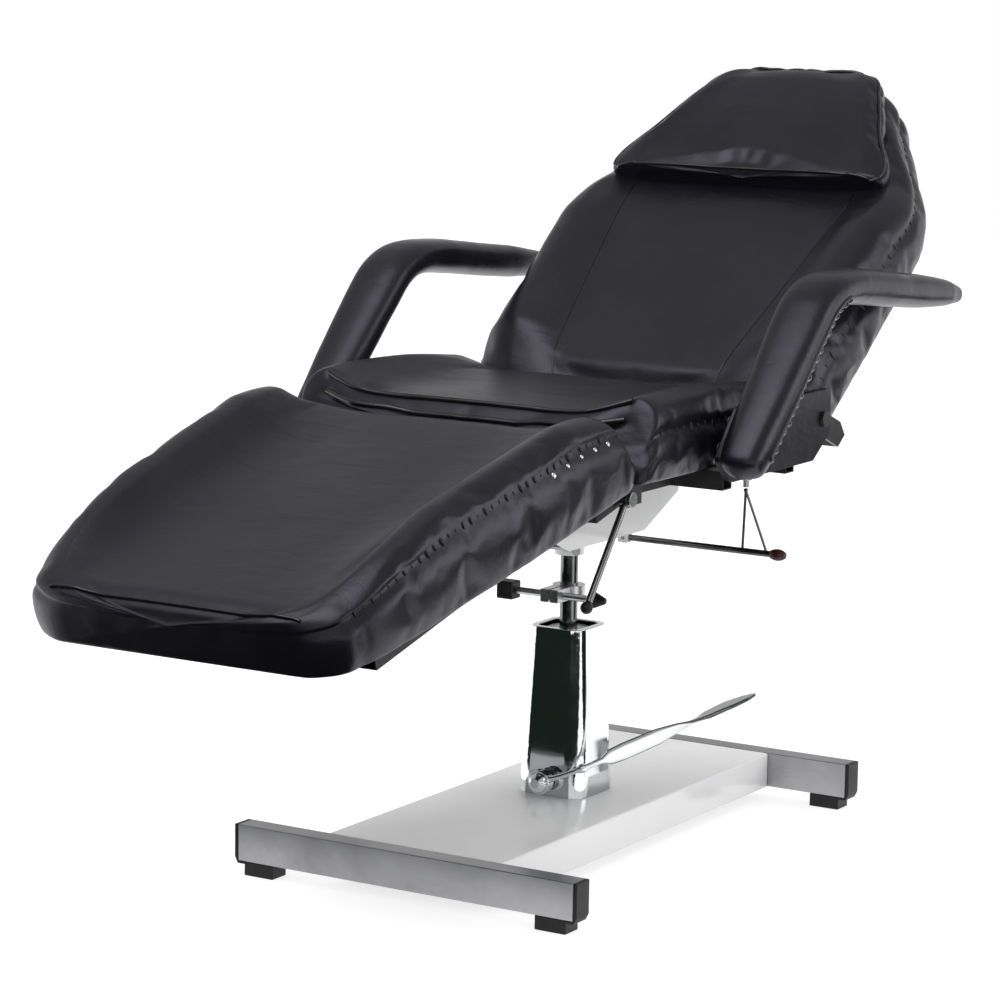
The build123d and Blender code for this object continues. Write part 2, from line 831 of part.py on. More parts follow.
def leg_rest():
    """Leg rest: frame with hinge ears, board and cushion, all in the leg's own tilted frame."""
    tubes = welded_tubes(
        [(-frame_rail_x, -leg_rail_end, -leg_cross_near), (frame_rail_x, -leg_rail_end, -leg_cross_near)],
        [(-leg_cross_near, leg_ear_x), (-leg_cross_far, frame_rail_x)],
        frame_tube,
        leg_bottom - frame_tube,
    )
    anchor = (
        -leg_cross_near - frame_tube / 2,
        -leg_cross_near + frame_tube / 2,
        leg_bottom - frame_tube,
        leg_bottom,
    )
    right = ear((0, 0), anchor, ear_radius, ear_thickness, Plane.YZ.offset(leg_ear_x))
    left = ear((0, 0), anchor, ear_radius, ear_thickness, Plane.YZ.offset(-leg_ear_x - ear_thickness))
    with BuildPart() as frame:
        add(leg_frame_plane.location * tubes)
        add(leg_frame_plane.location * right)
        add(leg_frame_plane.location * left)
        with BuildSketch(within(leg_frame_plane, Plane.YZ.offset(-leg_ear_x - ear_thickness - overrun))):
            Circle(leg_pin_radius + running_gap)
        extrude(amount=2 * (leg_ear_x + ear_thickness + overrun), mode=Mode.SUBTRACT)
    save(frame, "leg_frame")

    board_stations = ((0.0, 1.0), (0.5, 0.93), (0.86, 0.86), (1.0, 0.72))
    stations = [(share, seat_half_width * wide) for share, wide in board_stations]
    board_plane = within(leg_frame_plane, Plane.XY.offset(leg_bottom))
    board_start = leg_rear - board_inset
    board_end = -leg_length + 2 * board_inset
    outline = board_outline(board_plane, stations, board_inset + side_draw, board_start, board_end)
    with BuildPart() as board:
        extrude(outline, amount=board_thickness)
    save(board, "leg_board")

    height = leg_top - leg_bottom
    foot_share = leg_front_half_width / seat_half_width
    length = leg_length + leg_rear
    station_shares = (
        (0.0, 0.97, 0.8, 0.22, 1.0),
        (0.05, 1.0, 0.985, 0.64, 1.0),
        (0.12, 1.0, 1.0, 0.85, 1.0),
        (0.2, 0.995, 1.0, 1.0, 1.0),
        (0.62, foot_share * 1.095, 1.0, 0.97, 1.0),
        (0.8, foot_share * 1.05, 0.995, 0.6, 0.95),
        (0.92, foot_share * 0.985, 0.98, 0.24, 0.85),
        (0.975, foot_share * 0.9, 0.95, 0.08, 0.75),
        (1.0, foot_share * 0.74, 0.88, 0.05, 0.6),
    )
    sections = [
        pad_section(
            within(leg_frame_plane, Plane.XZ.offset(length * place - leg_rear)),
            seat_half_width * wide,
            leg_bottom,
            leg_bottom + height * high,
            leg_bolster_height * crest,
            bolster_width * roll,
            side_draw,
            leg_crown,
        )
        for place, wide, high, crest, roll in station_shares
    ]
    with BuildPart() as cushion:
        loft(sections)
        extrude(outline, amount=board_thickness, mode=Mode.SUBTRACT)
    save(cushion, "leg_cushion")


def leg_pins():
    """Hinge pins of the leg rest; the right one is longer and carries the clamp lever."""
    inner = leg_ear_x - pin_head_height
    ear_outer = leg_ear_x + 2 * ear_thickness + ear_gap
    hub_start = ear_outer + face_gap
    hub_end = hub_start + lever_hub_width
    with BuildPart() as pins:
        with BuildSketch(Plane.YZ.offset(inner)):
            with Locations((leg_pivot_y, leg_pivot_z)):
                Circle(leg_pin_radius)
        extrude(amount=hub_end + face_gap - inner)
        with BuildSketch(Plane.YZ.offset(hub_end + face_gap)):
            with Locations((leg_pivot_y, leg_pivot_z)):
                Circle(pin_head_radius)
        extrude(amount=pin_head_height)
        with BuildSketch(Plane.YZ.offset(-inner)):
            with Locations((leg_pivot_y, leg_pivot_z)):
                Circle(leg_pin_radius)
        extrude(amount=-(ear_outer - inner))
        with BuildSketch(Plane.YZ.offset(-ear_outer)):
            with Locations((leg_pivot_y, leg_pivot_z)):
                Circle(pin_head_radius)
        extrude(amount=-pin_head_height)
        for x in (inner, -inner - pin_head_height + face_gap):
            with BuildSketch(Plane.YZ.offset(x)):
                with Locations((leg_pivot_y, leg_pivot_z)):
                    Circle(pin_head_radius)
            extrude(amount=pin_head_height - face_gap)
    save(pins, "leg_hinge_pins")
    return hub_start


def leg_lever(hub_start):
    """Clamp lever of the leg rest's hinge: hub, thin rod and ball."""
    hub_middle = hub_start + lever_hub_width / 2
    down = Vector(0, -1, 0).rotate(Axis.X, lever_angle)
    pivot = Vector(hub_middle, leg_pivot_y, leg_pivot_z)
    with BuildPart() as lever:
        with BuildSketch(Plane.YZ.offset(hub_start)):
            with Locations((leg_pivot_y, leg_pivot_z)):
                Circle(lever_hub_radius)
        extrude(amount=lever_hub_width)
        with BuildSketch(Plane(origin=pivot + down * lever_hub_radius / 2, z_dir=down)):
            Circle(lever_radius)
        extrude(amount=lever_length - lever_hub_radius / 2 - lever_ball_radius)
        with BuildSketch(Plane.YZ.offset(hub_start - overrun)):
            with Locations((leg_pivot_y, leg_pivot_z)):
                Circle(leg_pin_radius + running_gap)
        extrude(amount=lever_hub_width + 2 * overrun, mode=Mode.SUBTRACT)
    save(lever, "leg_clamp_lever")
    centre = pivot + down * lever_length
    with BuildPart() as ball:
        with BuildSketch(Plane(origin=centre, x_dir=(1, 0, 0), z_dir=(0, down.Z, -down.Y))):
            Circle(lever_ball_radius)
            with Locations((-lever_ball_radius, 0)):
                Rectangle(2 * lever_ball_radius, 2 * lever_ball_radius, mode=Mode.SUBTRACT)
        revolve(axis=Axis(centre, down), revolution_arc=360)
        with BuildSketch(Plane(origin=centre - down * 2 * lever_ball_radius, z_dir=down)):
            Circle(lever_radius)
        extrude(amount=lever_ball_radius, mode=Mode.SUBTRACT)
    save(ball, "leg_lever_ball")


def back_rest():
    """Back: frame with hinge ears, board and cushion, all in the back's own tilted frame."""
    tubes = welded_tubes(
        [(-back_rail_x, back_cross_near, back_rail_end), (back_rail_x, back_cross_near, back_rail_end)],
        [(back_cross_near, back_ear_x), (back_cross_far, frame_rail_x)],
        frame_tube,
        back_bottom - frame_tube,
    )
    anchor = (
        back_cross_near - frame_tube / 2,
        back_cross_near + frame_tube / 2,
        back_bottom - frame_tube,
        back_bottom,
    )
    left_x = -back_ear_x - back_ear_thickness
    right = ear((0, 0), anchor, back_ear_radius, back_ear_thickness, Plane.YZ.offset(back_ear_x))
    left = ear((0, 0), anchor, back_ear_radius, back_ear_thickness, Plane.YZ.offset(left_x))
    with BuildPart() as frame:
        add(back_frame_plane.location * tubes)
        add(back_frame_plane.location * right)
        add(back_frame_plane.location * left)
        with BuildSketch(within(back_frame_plane, Plane.YZ.offset(-side_board_x))):
            Circle(back_pin_radius + running_gap)
        extrude(amount=2 * side_board_x, mode=Mode.SUBTRACT)
    save(frame, "back_frame")

    board_shares = ((0.0, 0.97), (0.58, 0.97), (0.74, 0.8), (0.93, 0.52), (1.0, 0.4))
    stations = [(share, seat_half_width * wide) for share, wide in board_shares]
    board_plane = within(back_frame_plane, Plane.XY.offset(back_bottom))
    board_start = back_start + board_inset
    board_end = back_length - board_inset
    outline = board_outline(board_plane, stations, board_inset, board_start, board_end)
    with BuildPart() as board:
        extrude(outline, amount=board_thickness)
    save(board, "back_board")

    height = back_top - back_bottom
    length = back_length - back_start
    station_shares = (
        (0.0, 0.96, 0.82, 0.1, 1.75),
        (0.045, 0.99, 0.99, 0.25, 1.75),
        (0.12, 1.0, 1.0, 1.0, 1.65),
        (0.5, 1.0, 1.0, 1.0, 1.2),
        (0.6, 0.985, 1.0, 0.5, 1.1),
        (0.67, 0.93, 1.0, 0.14, 1.0),
        (0.78, 0.79, 1.0, 0.12, 0.9),
        (0.9, 0.62, 0.99, 0.12, 0.8),
        (0.97, 0.52, 0.95, 0.1, 0.7),
        (1.0, 0.42, 0.84, 0.08, 0.6),
    )
    sections = [
        pad_section(
            within(back_frame_plane, Plane.XZ.offset(-back_start - length * place)),
            seat_half_width * wide,
            back_bottom,
            back_bottom + height * high,
            back_bolster_height * crest,
            bolster_width * roll,
            side_draw,
            back_crown,
        )
        for place, wide, high, crest, roll in station_shares
    ]
    with BuildPart() as cushion:
        loft(sections)
        extrude(outline, amount=board_thickness, mode=Mode.SUBTRACT)
    save(cushion, "back_cushion")
    return cushion.part


def head_pillow(back_cushion):
    """Wedge pillow fixed on the narrow head end of the back, its underside shaped by the cushion."""
    length = pillow_end - pillow_start
    front = pillow_front_top - pillow_low
    deep = pillow_mid_top - pillow_low
    station_shares = (
        (0.0, 0.97, front * 0.75),
        (0.06, 1.0, front * 1.1),
        (0.4, 0.84, deep * 0.95),
        (0.75, 0.68, deep),
        (0.93, 0.575, deep * 0.88),
        (1.0, 0.46, deep * 0.55),
    )
    sections = [
        pad_section(
            within(back_frame_plane, Plane.XZ.offset(-pillow_start - length * place)),
            pillow_half_width * wide,
            pillow_low,
            pillow_low + high,
            pillow_crown / 3,
            pillow_roll,
            side_draw / 2,
            pillow_crown,
        )
        for place, wide, high in station_shares
    ]
    with BuildPart() as pillow:
        loft(sections)
        add(back_cushion, mode=Mode.SUBTRACT)
    save(pillow, "head_pillow")


def back_pins():
    """Hinge pins of the back and the friction washers between ear and side board."""
    inner = back_ear_x - pin_head_height / 2
    with BuildPart() as pins:
        for side in (-1, 1):
            with BuildSketch(Plane.YZ.offset(side * inner)):
                with Locations((back_pivot_y, back_pivot_z)):
                    Circle(back_pin_radius)
            extrude(amount=side * (side_board_outer - inner))
            with BuildSketch(Plane.YZ.offset(side * side_board_outer)):
                with Locations((back_pivot_y, back_pivot_z)):
                    RegularPolygon(back_pin_head_radius, 6)
            extrude(amount=side * pin_head_height)
    save(pins, "back_hinge_pins")
    with BuildPart() as washers:
        for side in (-1, 1):
            with BuildSketch(Plane.YZ.offset(side * side_board_x)):
                with Locations((back_pivot_y, back_pivot_z)):
                    Circle(washer_radius)
                    Circle(back_pin_radius, mode=Mode.SUBTRACT)
            extrude(amount=-side * (washer_room - face_gap))
    save(washers, "back_friction_washers")


def post_front_at(height):
    """Place of the front edge of an arm's leaning post at a height."""
    (foot_along, foot_up), (elbow_along, elbow_up) = arm_corner_shares[:2]
    up = (height - arm_low) / arm_height
    along = foot_along + (elbow_along - foot_along) * (up - foot_up) / (elbow_up - foot_up)
    return arm_front + arm_length * along


def side_boards():
    """Upholstered boards beside the seat that carry the back's hinge and the arms, hidden behind the posts."""
    toe_z = side_board_low + side_board_toe
    toe_y = post_front_at(toe_z) + side_board_setback
    corners = (
        (toe_y + side_board_toe, side_board_low),
        (side_board_back - side_board_heel, side_board_low),
        (side_board_back, side_board_low + side_board_heel_rise),
        (side_board_back, side_board_high),
        (post_front_at(side_board_high) + side_board_setback, side_board_high),
        (toe_y, toe_z),
    )
    for label, side in (("left_side_board", -1), ("right_side_board", 1)):
        with BuildPart() as board:
            with BuildSketch(Plane.YZ.offset(side * side_board_x)):
                with BuildLine():
                    FilletPolyline(*corners, radius=side_board_corner, close=True)
                make_face()
                with Locations((back_pivot_y, back_pivot_z)):
                    Circle(back_pin_radius, mode=Mode.SUBTRACT)
                with Locations(*arm_bolt_places()):
                    Circle(arm_bolt_radius, mode=Mode.SUBTRACT)
            extrude(amount=side * side_board_thickness)
        save(board, label)


def arm_bolt_places():
    """Two bolts through each side board into the foot of the arm."""
    place_shares = ((0.081, 0.145), (0.124, 0.267))
    return tuple((arm_front + arm_length * along, arm_low + arm_height * up) for along, up in place_shares)


def arm_outline(plane, margin):
    """Side view of an arm, a leaning post and a nearly level arm rest, drawn in by a margin."""
    corners = [(arm_front + arm_length * along, arm_low + arm_height * up) for along, up in arm_corner_shares]
    rounds = [arm_foot_round, arm_elbow_round, arm_tip_round, arm_tip_round, arm_crook_round, arm_foot_round]
    with BuildSketch(plane) as outline:
        with BuildLine():
            FilletPolyline(*corners, radius=rounds, close=True)
        make_face()
        if margin:
            offset(amount=-margin, mode=Mode.REPLACE)
    return outline.sketch


def arms():
    """Arm boards bolted to the side boards, and the padded arms on them."""
    for name, side in (("left", -1), ("right", 1)):
        with BuildPart() as board:
            extrude(
                arm_outline(Plane.YZ.offset(side * side_board_outer), arm_board_margin),
                amount=side * arm_board_thickness,
            )
            with BuildSketch(Plane.YZ.offset(side * side_board_outer)):
                with Locations(*arm_bolt_places()):
                    Circle(arm_bolt_radius)
            extrude(amount=side * arm_board_thickness, mode=Mode.SUBTRACT)
        save(board, f"{name}_arm_board")
        with BuildPart() as pad:
            extrude(arm_outline(Plane.YZ.offset(side * arm_inner_x), 0), amount=side * arm_pad_width)
            outer = pad.faces().sort_by(Axis.X)[-1 if side > 0 else 0]
            fillet(outer.edges(), arm_edge)
        save(pad, f"{name}_arm_pad")


def arm_bolts():
    """Bolts from the seat side into the arm boards."""
    inner = side_board_x - arm_bolt_head_height
    with BuildPart() as bolts:
        for side in (-1, 1):
            with BuildSketch(Plane.YZ.offset(side * side_board_x)):
                with Locations(*arm_bolt_places()):
                    Circle(arm_bolt_radius)
            extrude(amount=side * (side_board_thickness + arm_board_thickness))
            with BuildSketch(Plane.YZ.offset(side * inner)):
                with Locations(*arm_bolt_places()):
                    Circle(arm_bolt_head)
            extrude(amount=side * arm_bolt_head_height)
    save(bolts, "arm_bolts")


def release_bar():
    """Back release bar on a clevis pin, with its knob and the wire stirrup."""
    eye_half = release_eye_thickness / 2
    with BuildPart() as bar:
        with BuildSketch(Plane.XZ.offset(-release_y - eye_half)):
            with Locations((release_pivot_x, release_z)):
                Circle(release_eye_radius)
        extrude(amount=release_eye_thickness)
        with BuildSketch(Plane.YZ.offset(release_pivot_x + release_eye_radius / 2)):
            with Locations((release_y, release_z)):
                Circle(release_radius)
        extrude(amount=release_end_x - release_pivot_x - release_eye_radius / 2)
        with BuildSketch(Plane.XZ.offset(-release_y - 2 * eye_half)):
            with Locations((release_pivot_x, release_z)):
                Circle(release_pin_radius + running_gap)
        extrude(amount=4 * eye_half, mode=Mode.SUBTRACT)
        for side in (-3, 1):
            with BuildSketch(Plane.XZ.offset(-release_y + side * eye_half)):
                with Locations((release_pivot_x, release_z)):
                    Rectangle(2 * (clevis_half_width + clevis_clearance), 3 * release_eye_radius)
            extrude(amount=2 * eye_half, mode=Mode.SUBTRACT)
    save(bar, "release_bar")
    with BuildPart() as knob:
        knob_shares = ((0.0, 0.7), (0.6, 1.0), (1.0, 0.55))
        for place, wide in knob_shares:
            with BuildSketch(Plane.YZ.offset(release_end_x + knob_length * place)):
                with Locations((release_y, release_z)):
                    Circle(knob_radius * wide)
        loft()
    save(knob, "release_knob")
    apex = Vector(stirrup_top_x, release_y, stirrup_top)
    with BuildPart() as stirrup:
        for foot_x in (stirrup_inner_x, stirrup_outer_x):
            foot = Vector(foot_x, release_y, release_z)
            leg = apex - foot
            with BuildSketch(Plane(origin=foot, z_dir=leg)):
                Circle(stirrup_radius)
            extrude(amount=leg.length)
        with BuildSketch(Plane.XZ.offset(-release_y - stirrup_radius)):
            with Locations((stirrup_top_x, stirrup_top)):
                Circle(stirrup_radius * 1.3)
        extrude(amount=2 * stirrup_radius)
        with BuildSketch(Plane.YZ.offset(stirrup_inner_x - bush_radius)):
            with Locations((release_y, release_z)):
                Circle(release_radius)
        extrude(amount=stirrup_outer_x - stirrup_inner_x + 2 * bush_radius, mode=Mode.SUBTRACT)
    save(stirrup, "release_stirrup")
    pin_half = eye_half + face_gap + clevis_cheek
    with BuildPart() as pin:
        with BuildSketch(Plane.XZ.offset(-release_y - pin_half)):
            with Locations((release_pivot_x, release_z)):
                Circle(release_pin_radius)
        extrude(amount=2 * pin_half)
    save(pin, "release_pin")


def release_plunger():
    """Plunger that the stirrup pulls, and its bush under the seat frame."""
    with BuildPart() as plunger:
        with BuildSketch(Plane.XY.offset(plunger_bottom)):
            with Locations((stirrup_top_x, release_y)):
                Circle(plunger_radius)
        extrude(amount=plunger_top - plunger_bottom)
    save(plunger, "release_plunger")
    with BuildPart() as bush:
        with BuildSketch(Plane.XY.offset(frame_bottom - bush_length)):
            with Locations((stirrup_top_x, release_y)):
                Circle(bush_radius)
                Circle(plunger_radius + running_gap, mode=Mode.SUBTRACT)
        extrude(amount=bush_length)
    save(bush, "plunger_bush")


os.makedirs("parts", exist_ok=True)
base_plate()
crossbars()
end_feet()
pump_flange()
flange_bolts()
pump_cylinder()
pump_gland()
pump_cover()
pedal_hub_start = pedal_axle()
pedal_lever(pedal_hub_start)
ram_piston()
piston_rod()
stop_collar()
clamp_bar()
head_socket()
lock_screw()
saddle()
seat_frame()
seat_pad()
leg_rest()
lever_hub_start = leg_pins()
leg_lever(lever_hub_start)
head_pillow(back_rest())
back_pins()
side_boards()
arms()
arm_bolts()
release_bar()
release_plunger()
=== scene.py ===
"""Hydraulic tattoo chair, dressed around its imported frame.

Metres, +Z up, feet towards -Y, head towards +Y. The script follows the chair as it is put together,
from the floor to the pillow, one section for each piece or group of like pieces.
"""
import json
import math

import bmesh
import bpy
import numpy as np
from mathutils import Matrix, Vector, noise


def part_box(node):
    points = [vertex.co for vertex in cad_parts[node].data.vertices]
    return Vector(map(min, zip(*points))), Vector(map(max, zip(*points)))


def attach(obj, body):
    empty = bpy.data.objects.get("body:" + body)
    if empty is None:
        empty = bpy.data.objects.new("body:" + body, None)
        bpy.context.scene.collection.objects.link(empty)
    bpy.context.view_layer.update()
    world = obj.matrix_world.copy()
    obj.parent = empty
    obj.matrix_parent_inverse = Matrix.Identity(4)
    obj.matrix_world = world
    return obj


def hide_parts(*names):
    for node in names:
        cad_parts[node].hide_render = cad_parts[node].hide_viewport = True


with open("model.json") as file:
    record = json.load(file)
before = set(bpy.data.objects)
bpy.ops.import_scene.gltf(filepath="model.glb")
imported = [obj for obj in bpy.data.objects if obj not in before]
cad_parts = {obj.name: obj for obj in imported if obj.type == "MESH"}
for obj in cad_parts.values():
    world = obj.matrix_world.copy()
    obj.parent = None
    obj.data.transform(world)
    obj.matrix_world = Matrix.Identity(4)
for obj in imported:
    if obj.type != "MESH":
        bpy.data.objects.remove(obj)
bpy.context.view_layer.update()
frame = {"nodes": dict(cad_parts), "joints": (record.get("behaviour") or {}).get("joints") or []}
scene = bpy.context.scene
scene.view_settings.view_transform = "Standard"

# Camera: stands beyond the foot end, on the chair's right as seen from there, at about head height, and looks
# slightly down. The place, the angles and the focal length were fitted to the corners of base and bed.
camera_place = Vector((2.4301, -4.1429, 1.2669))
camera_azimuth = math.radians(31.501)
camera_elevation = math.radians(9.391)
camera_roll = math.radians(0.858)
focal_pixels = 3522.0
centre_offset_pixels = (3.4, 3.3)
image_pixels = 1000
sensor_width = 36.0

forward = Vector((
    -math.sin(camera_azimuth) * math.cos(camera_elevation),
    math.cos(camera_azimuth) * math.cos(camera_elevation),
    -math.sin(camera_elevation),
))
level_right = Vector((math.cos(camera_azimuth), math.sin(camera_azimuth), 0))
level_up = level_right.cross(forward)
camera_right = level_right * math.cos(camera_roll) + level_up * math.sin(camera_roll)
camera_up = level_up * math.cos(camera_roll) - level_right * math.sin(camera_roll)
camera_data = bpy.data.cameras.new("camera")
camera_data.sensor_width = sensor_width
camera_data.lens = focal_pixels / image_pixels * sensor_width
camera_data.shift_x = -centre_offset_pixels[0] / image_pixels
camera_data.shift_y = centre_offset_pixels[1] / image_pixels
camera = bpy.data.objects.new("camera", camera_data)
camera.matrix_world = Matrix.Translation(camera_place) @ Matrix(
    (camera_right, camera_up, -forward)
).transposed().to_4x4()
scene.collection.objects.link(camera)
scene.camera = camera

# Studio: a pale floor, one large soft box overhead in front, a softer one behind on the right, and dark
# cloths, three hung and two on the floor, that only mirrors see, which give the chrome and the vinyl their
# black sides. The white backdrop is the world's colour.
floor_half = 9.0
white = (1.0, 1.0, 1.0, 1.0)
sky_white, sky_light, sky_mirrored = 1.0, 1.0, 0.42
mirrored_from, mirrored_to = 0.05, 0.32
overhead = {"place": (-0.2, -1.9, 3.4), "aim": (0.0, 0.0, 0.4), "size": 3.0, "watts": 74.0}
side_box = {"place": (3.4, 1.4, 1.6), "aim": (0.0, 0.0, 0.6), "size": 2.0, "watts": 27.0}
hung_cloths = (((-0.34, -0.62, 0.20), 0.7, 0.40), ((-1.00, -2.60, 0.62), 3.0, 1.2),
               ((1.15, 0.88, 0.325), 1.9, 0.30))
floor_cloths = (((-0.42, -0.60), (3.6, -0.60), (3.6, -4.2), (-3.2, -4.2)),
                ((0.62, 0.20), (3.6, 0.20), (3.6, 2.6), (2.0, 2.6)))
cloth_height = 0.004
cloth_black = (0.010, 0.016, 0.013, 1.0)
floor_matt, floor_plain = (0.5, 0.5, 0.5, 1.0), (0.62, 0.62, 0.62, 1.0)
floor_glow = 0.72


def add_node(tree, kind, **values):
    """A new node of a tree with values on its inputs, whose names are given with _ for each space."""
    node = tree.nodes.new(kind)
    for label, value in values.items():
        node.inputs[label.replace("_", " ")].default_value = value
    return node


def link_nodes(tree, links):
    """Join sockets of a node tree, each link given as node, output, node, input."""
    for source, output, target, entry in links:
        tree.links.new(source.outputs[output], target.inputs[entry])


world = bpy.data.worlds.new("studio")
scene.world = world
world.use_nodes = True
sky = world.node_tree
sky.nodes.clear()
sky_rays = add_node(sky, "ShaderNodeLightPath")
sky_place = add_node(sky, "ShaderNodeTexCoord")
sky_split = add_node(sky, "ShaderNodeSeparateXYZ")
sky_height = add_node(sky, "ShaderNodeMapRange", From_Min=mirrored_from, From_Max=mirrored_to,
                      To_Min=sky_white, To_Max=sky_mirrored)
sky_seen = add_node(sky, "ShaderNodeBackground", Color=white, Strength=sky_white)
sky_mirror = add_node(sky, "ShaderNodeBackground", Color=white)
sky_lit = add_node(sky, "ShaderNodeBackground", Color=white, Strength=sky_light)
sky_inner = add_node(sky, "ShaderNodeMixShader")
sky_outer = add_node(sky, "ShaderNodeMixShader")
sky_out = add_node(sky, "ShaderNodeOutputWorld")
link_nodes(sky, (
    (sky_place, "Generated", sky_split, "Vector"), (sky_split, "Z", sky_height, "Value"),
    (sky_height, "Result", sky_mirror, "Strength"), (sky_rays, "Is Glossy Ray", sky_inner, "Fac"),
    (sky_lit, "Background", sky_inner, 1), (sky_mirror, "Background", sky_inner, 2),
    (sky_rays, "Is Camera Ray", sky_outer, "Fac"), (sky_inner, "Shader", sky_outer, 1),
    (sky_seen, "Background", sky_outer, 2), (sky_outer, "Shader", sky_out, "Surface"),
))


def soft_box(name, place, aim, size, watts):
    """Square area light that faces a point."""
    data = bpy.data.lights.new(name, "AREA")
    data.shape = "SQUARE"
    data.size = size
    data.energy = watts
    lamp = bpy.data.objects.new(name, data)
    lamp.location = place
    lamp.rotation_euler = (Vector(aim) - Vector(place)).to_track_quat("-Z", "Y").to_euler()
    scene.collection.objects.link(lamp)


soft_box("overhead_box", **overhead)
soft_box("side_box", **side_box)


def stage_plane(name, corners, shader_maker):
    """A flat stage piece with its own material."""
    mesh = bpy.data.meshes.new(name)
    mesh.from_pydata([tuple(c) for c in corners], [], [(0, 1, 2, 3)])
    plane = bpy.data.objects.new(name, mesh)
    scene.collection.objects.link(plane)
    material = bpy.data.materials.new(name)
    material.use_nodes = True
    material.node_tree.nodes.clear()
    shader_maker(material.node_tree)
    mesh.materials.append(material)
    return plane


def floor_shader(tree):
    """Matt pale floor; the camera and mirrors see it lifted to the white of the backdrop, less its shadow."""
    rays = add_node(tree, "ShaderNodeLightPath")
    either = add_node(tree, "ShaderNodeMath")
    either.operation = "MAXIMUM"
    matt = add_node(tree, "ShaderNodeBsdfDiffuse", Color=floor_matt)
    glow = add_node(tree, "ShaderNodeEmission", Strength=floor_glow)
    lifted = add_node(tree, "ShaderNodeAddShader")
    plain = add_node(tree, "ShaderNodeBsdfDiffuse", Color=floor_plain)
    choice = add_node(tree, "ShaderNodeMixShader")
    out = add_node(tree, "ShaderNodeOutputMaterial")
    link_nodes(tree, (
        (rays, "Is Camera Ray", either, 0), (rays, "Is Glossy Ray", either, 1), (matt, "BSDF", lifted, 0),
        (glow, "Emission", lifted, 1), (either, "Value", choice, "Fac"), (plain, "BSDF", choice, 1),
        (lifted, "Shader", choice, 2), (choice, "Shader", out, "Surface"),
    ))


def cloth_shader(tree):
    """Dark green black cloth."""
    cloth = add_node(tree, "ShaderNodeEmission", Color=cloth_black)
    out = add_node(tree, "ShaderNodeOutputMaterial")
    link_nodes(tree, ((cloth, "Emission", out, "Surface"),))


floor_corners = ((-floor_half, -floor_half, 0), (floor_half, -floor_half, 0), (floor_half, floor_half, 0),
                 (-floor_half, floor_half, 0))
stage_plane("floor", floor_corners, floor_shader)
cloths = [tuple((x, y, cloth_height) for x, y in corners) for corners in floor_cloths]
for middle, width, height in hung_cloths:
    side = Vector((-middle[1], middle[0], 0)).normalized() * width / 2
    rise = Vector((0, 0, height / 2))
    middle = Vector(middle)
    cloths.append((middle - side - rise, middle + side - rise, middle + side + rise, middle - side + rise))
for number, corners in enumerate(cloths):
    hung = stage_plane("dark_cloth_" + str(number + 1), corners, cloth_shader)
    hung.visible_camera = hung.visible_diffuse = hung.visible_shadow = hung.visible_transmission = False

# Base plate: a white enamelled box of 3 mm sheet, open underneath, welded between the two cross tubes. Its
# edges are the rounded ones of a press brake, and the enamel has a faint orange peel.
sheet_bend = 0.0028
sheet_wall = 0.003
enamel_white = (0.86, 0.86, 0.868, 1.0)
enamel_shade = (0.80, 0.80, 0.812, 1.0)
coat_rough = 0.06
weld_distance, flat_angle = 1e-5, 0.3


def group_tree(name, inputs, outputs):
    """Shader node group with named sockets; gives the tree and its input and output nodes."""
    tree = bpy.data.node_groups.new(name, "ShaderNodeTree")
    for label, kind, value in inputs:
        socket = tree.interface.new_socket(label, in_out="INPUT", socket_type=kind)
        if value is not None:
            socket.default_value = value
    for label, kind in outputs:
        tree.interface.new_socket(label, in_out="OUTPUT", socket_type=kind)
    return tree, tree.nodes.new("NodeGroupInput"), tree.nodes.new("NodeGroupOutput")


def build_mottle_group():
    """Slow change between two colours, with its mask, as in any real finish."""
    tree, given, made = group_tree(
        "mottle",
        (("Vector", "NodeSocketVector", None), ("Scale", "NodeSocketFloat", 8.0),
         ("Dark", "NodeSocketColor", (0, 0, 0, 1)), ("Light", "NodeSocketColor", (1, 1, 1, 1))),
        (("Color", "NodeSocketColor"), ("Mask", "NodeSocketFloat")),
    )
    clouds = add_node(tree, "ShaderNodeTexNoise", Detail=5.0, Roughness=0.6)
    spread = add_node(tree, "ShaderNodeMapRange", From_Min=0.32, From_Max=0.68)
    mix = add_node(tree, "ShaderNodeMix")
    mix.data_type = "RGBA"
    link_nodes(tree, (
        (given, "Vector", clouds, "Vector"), (given, "Scale", clouds, "Scale"),
        (clouds, "Fac", spread, "Value"), (spread, "Result", mix, "Factor"), (given, "Dark", mix, "A"),
        (given, "Light", mix, "B"), (mix, "Result", made, "Color"), (spread, "Result", made, "Mask"),
    ))
    return tree


def build_range_group():
    """A mask turned into a value between two ends, for roughness."""
    tree, given, made = group_tree(
        "between",
        (("Mask", "NodeSocketFloat", 0.5), ("Low", "NodeSocketFloat", 0.0), ("High", "NodeSocketFloat", 1.0)),
        (("Value", "NodeSocketFloat"),),
    )
    spread = add_node(tree, "ShaderNodeMapRange")
    link_nodes(tree, (
        (given, "Mask", spread, "Value"), (given, "Low", spread, "To Min"), (given, "High", spread, "To Max"),
        (spread, "Result", made, "Value"),
    ))
    return tree


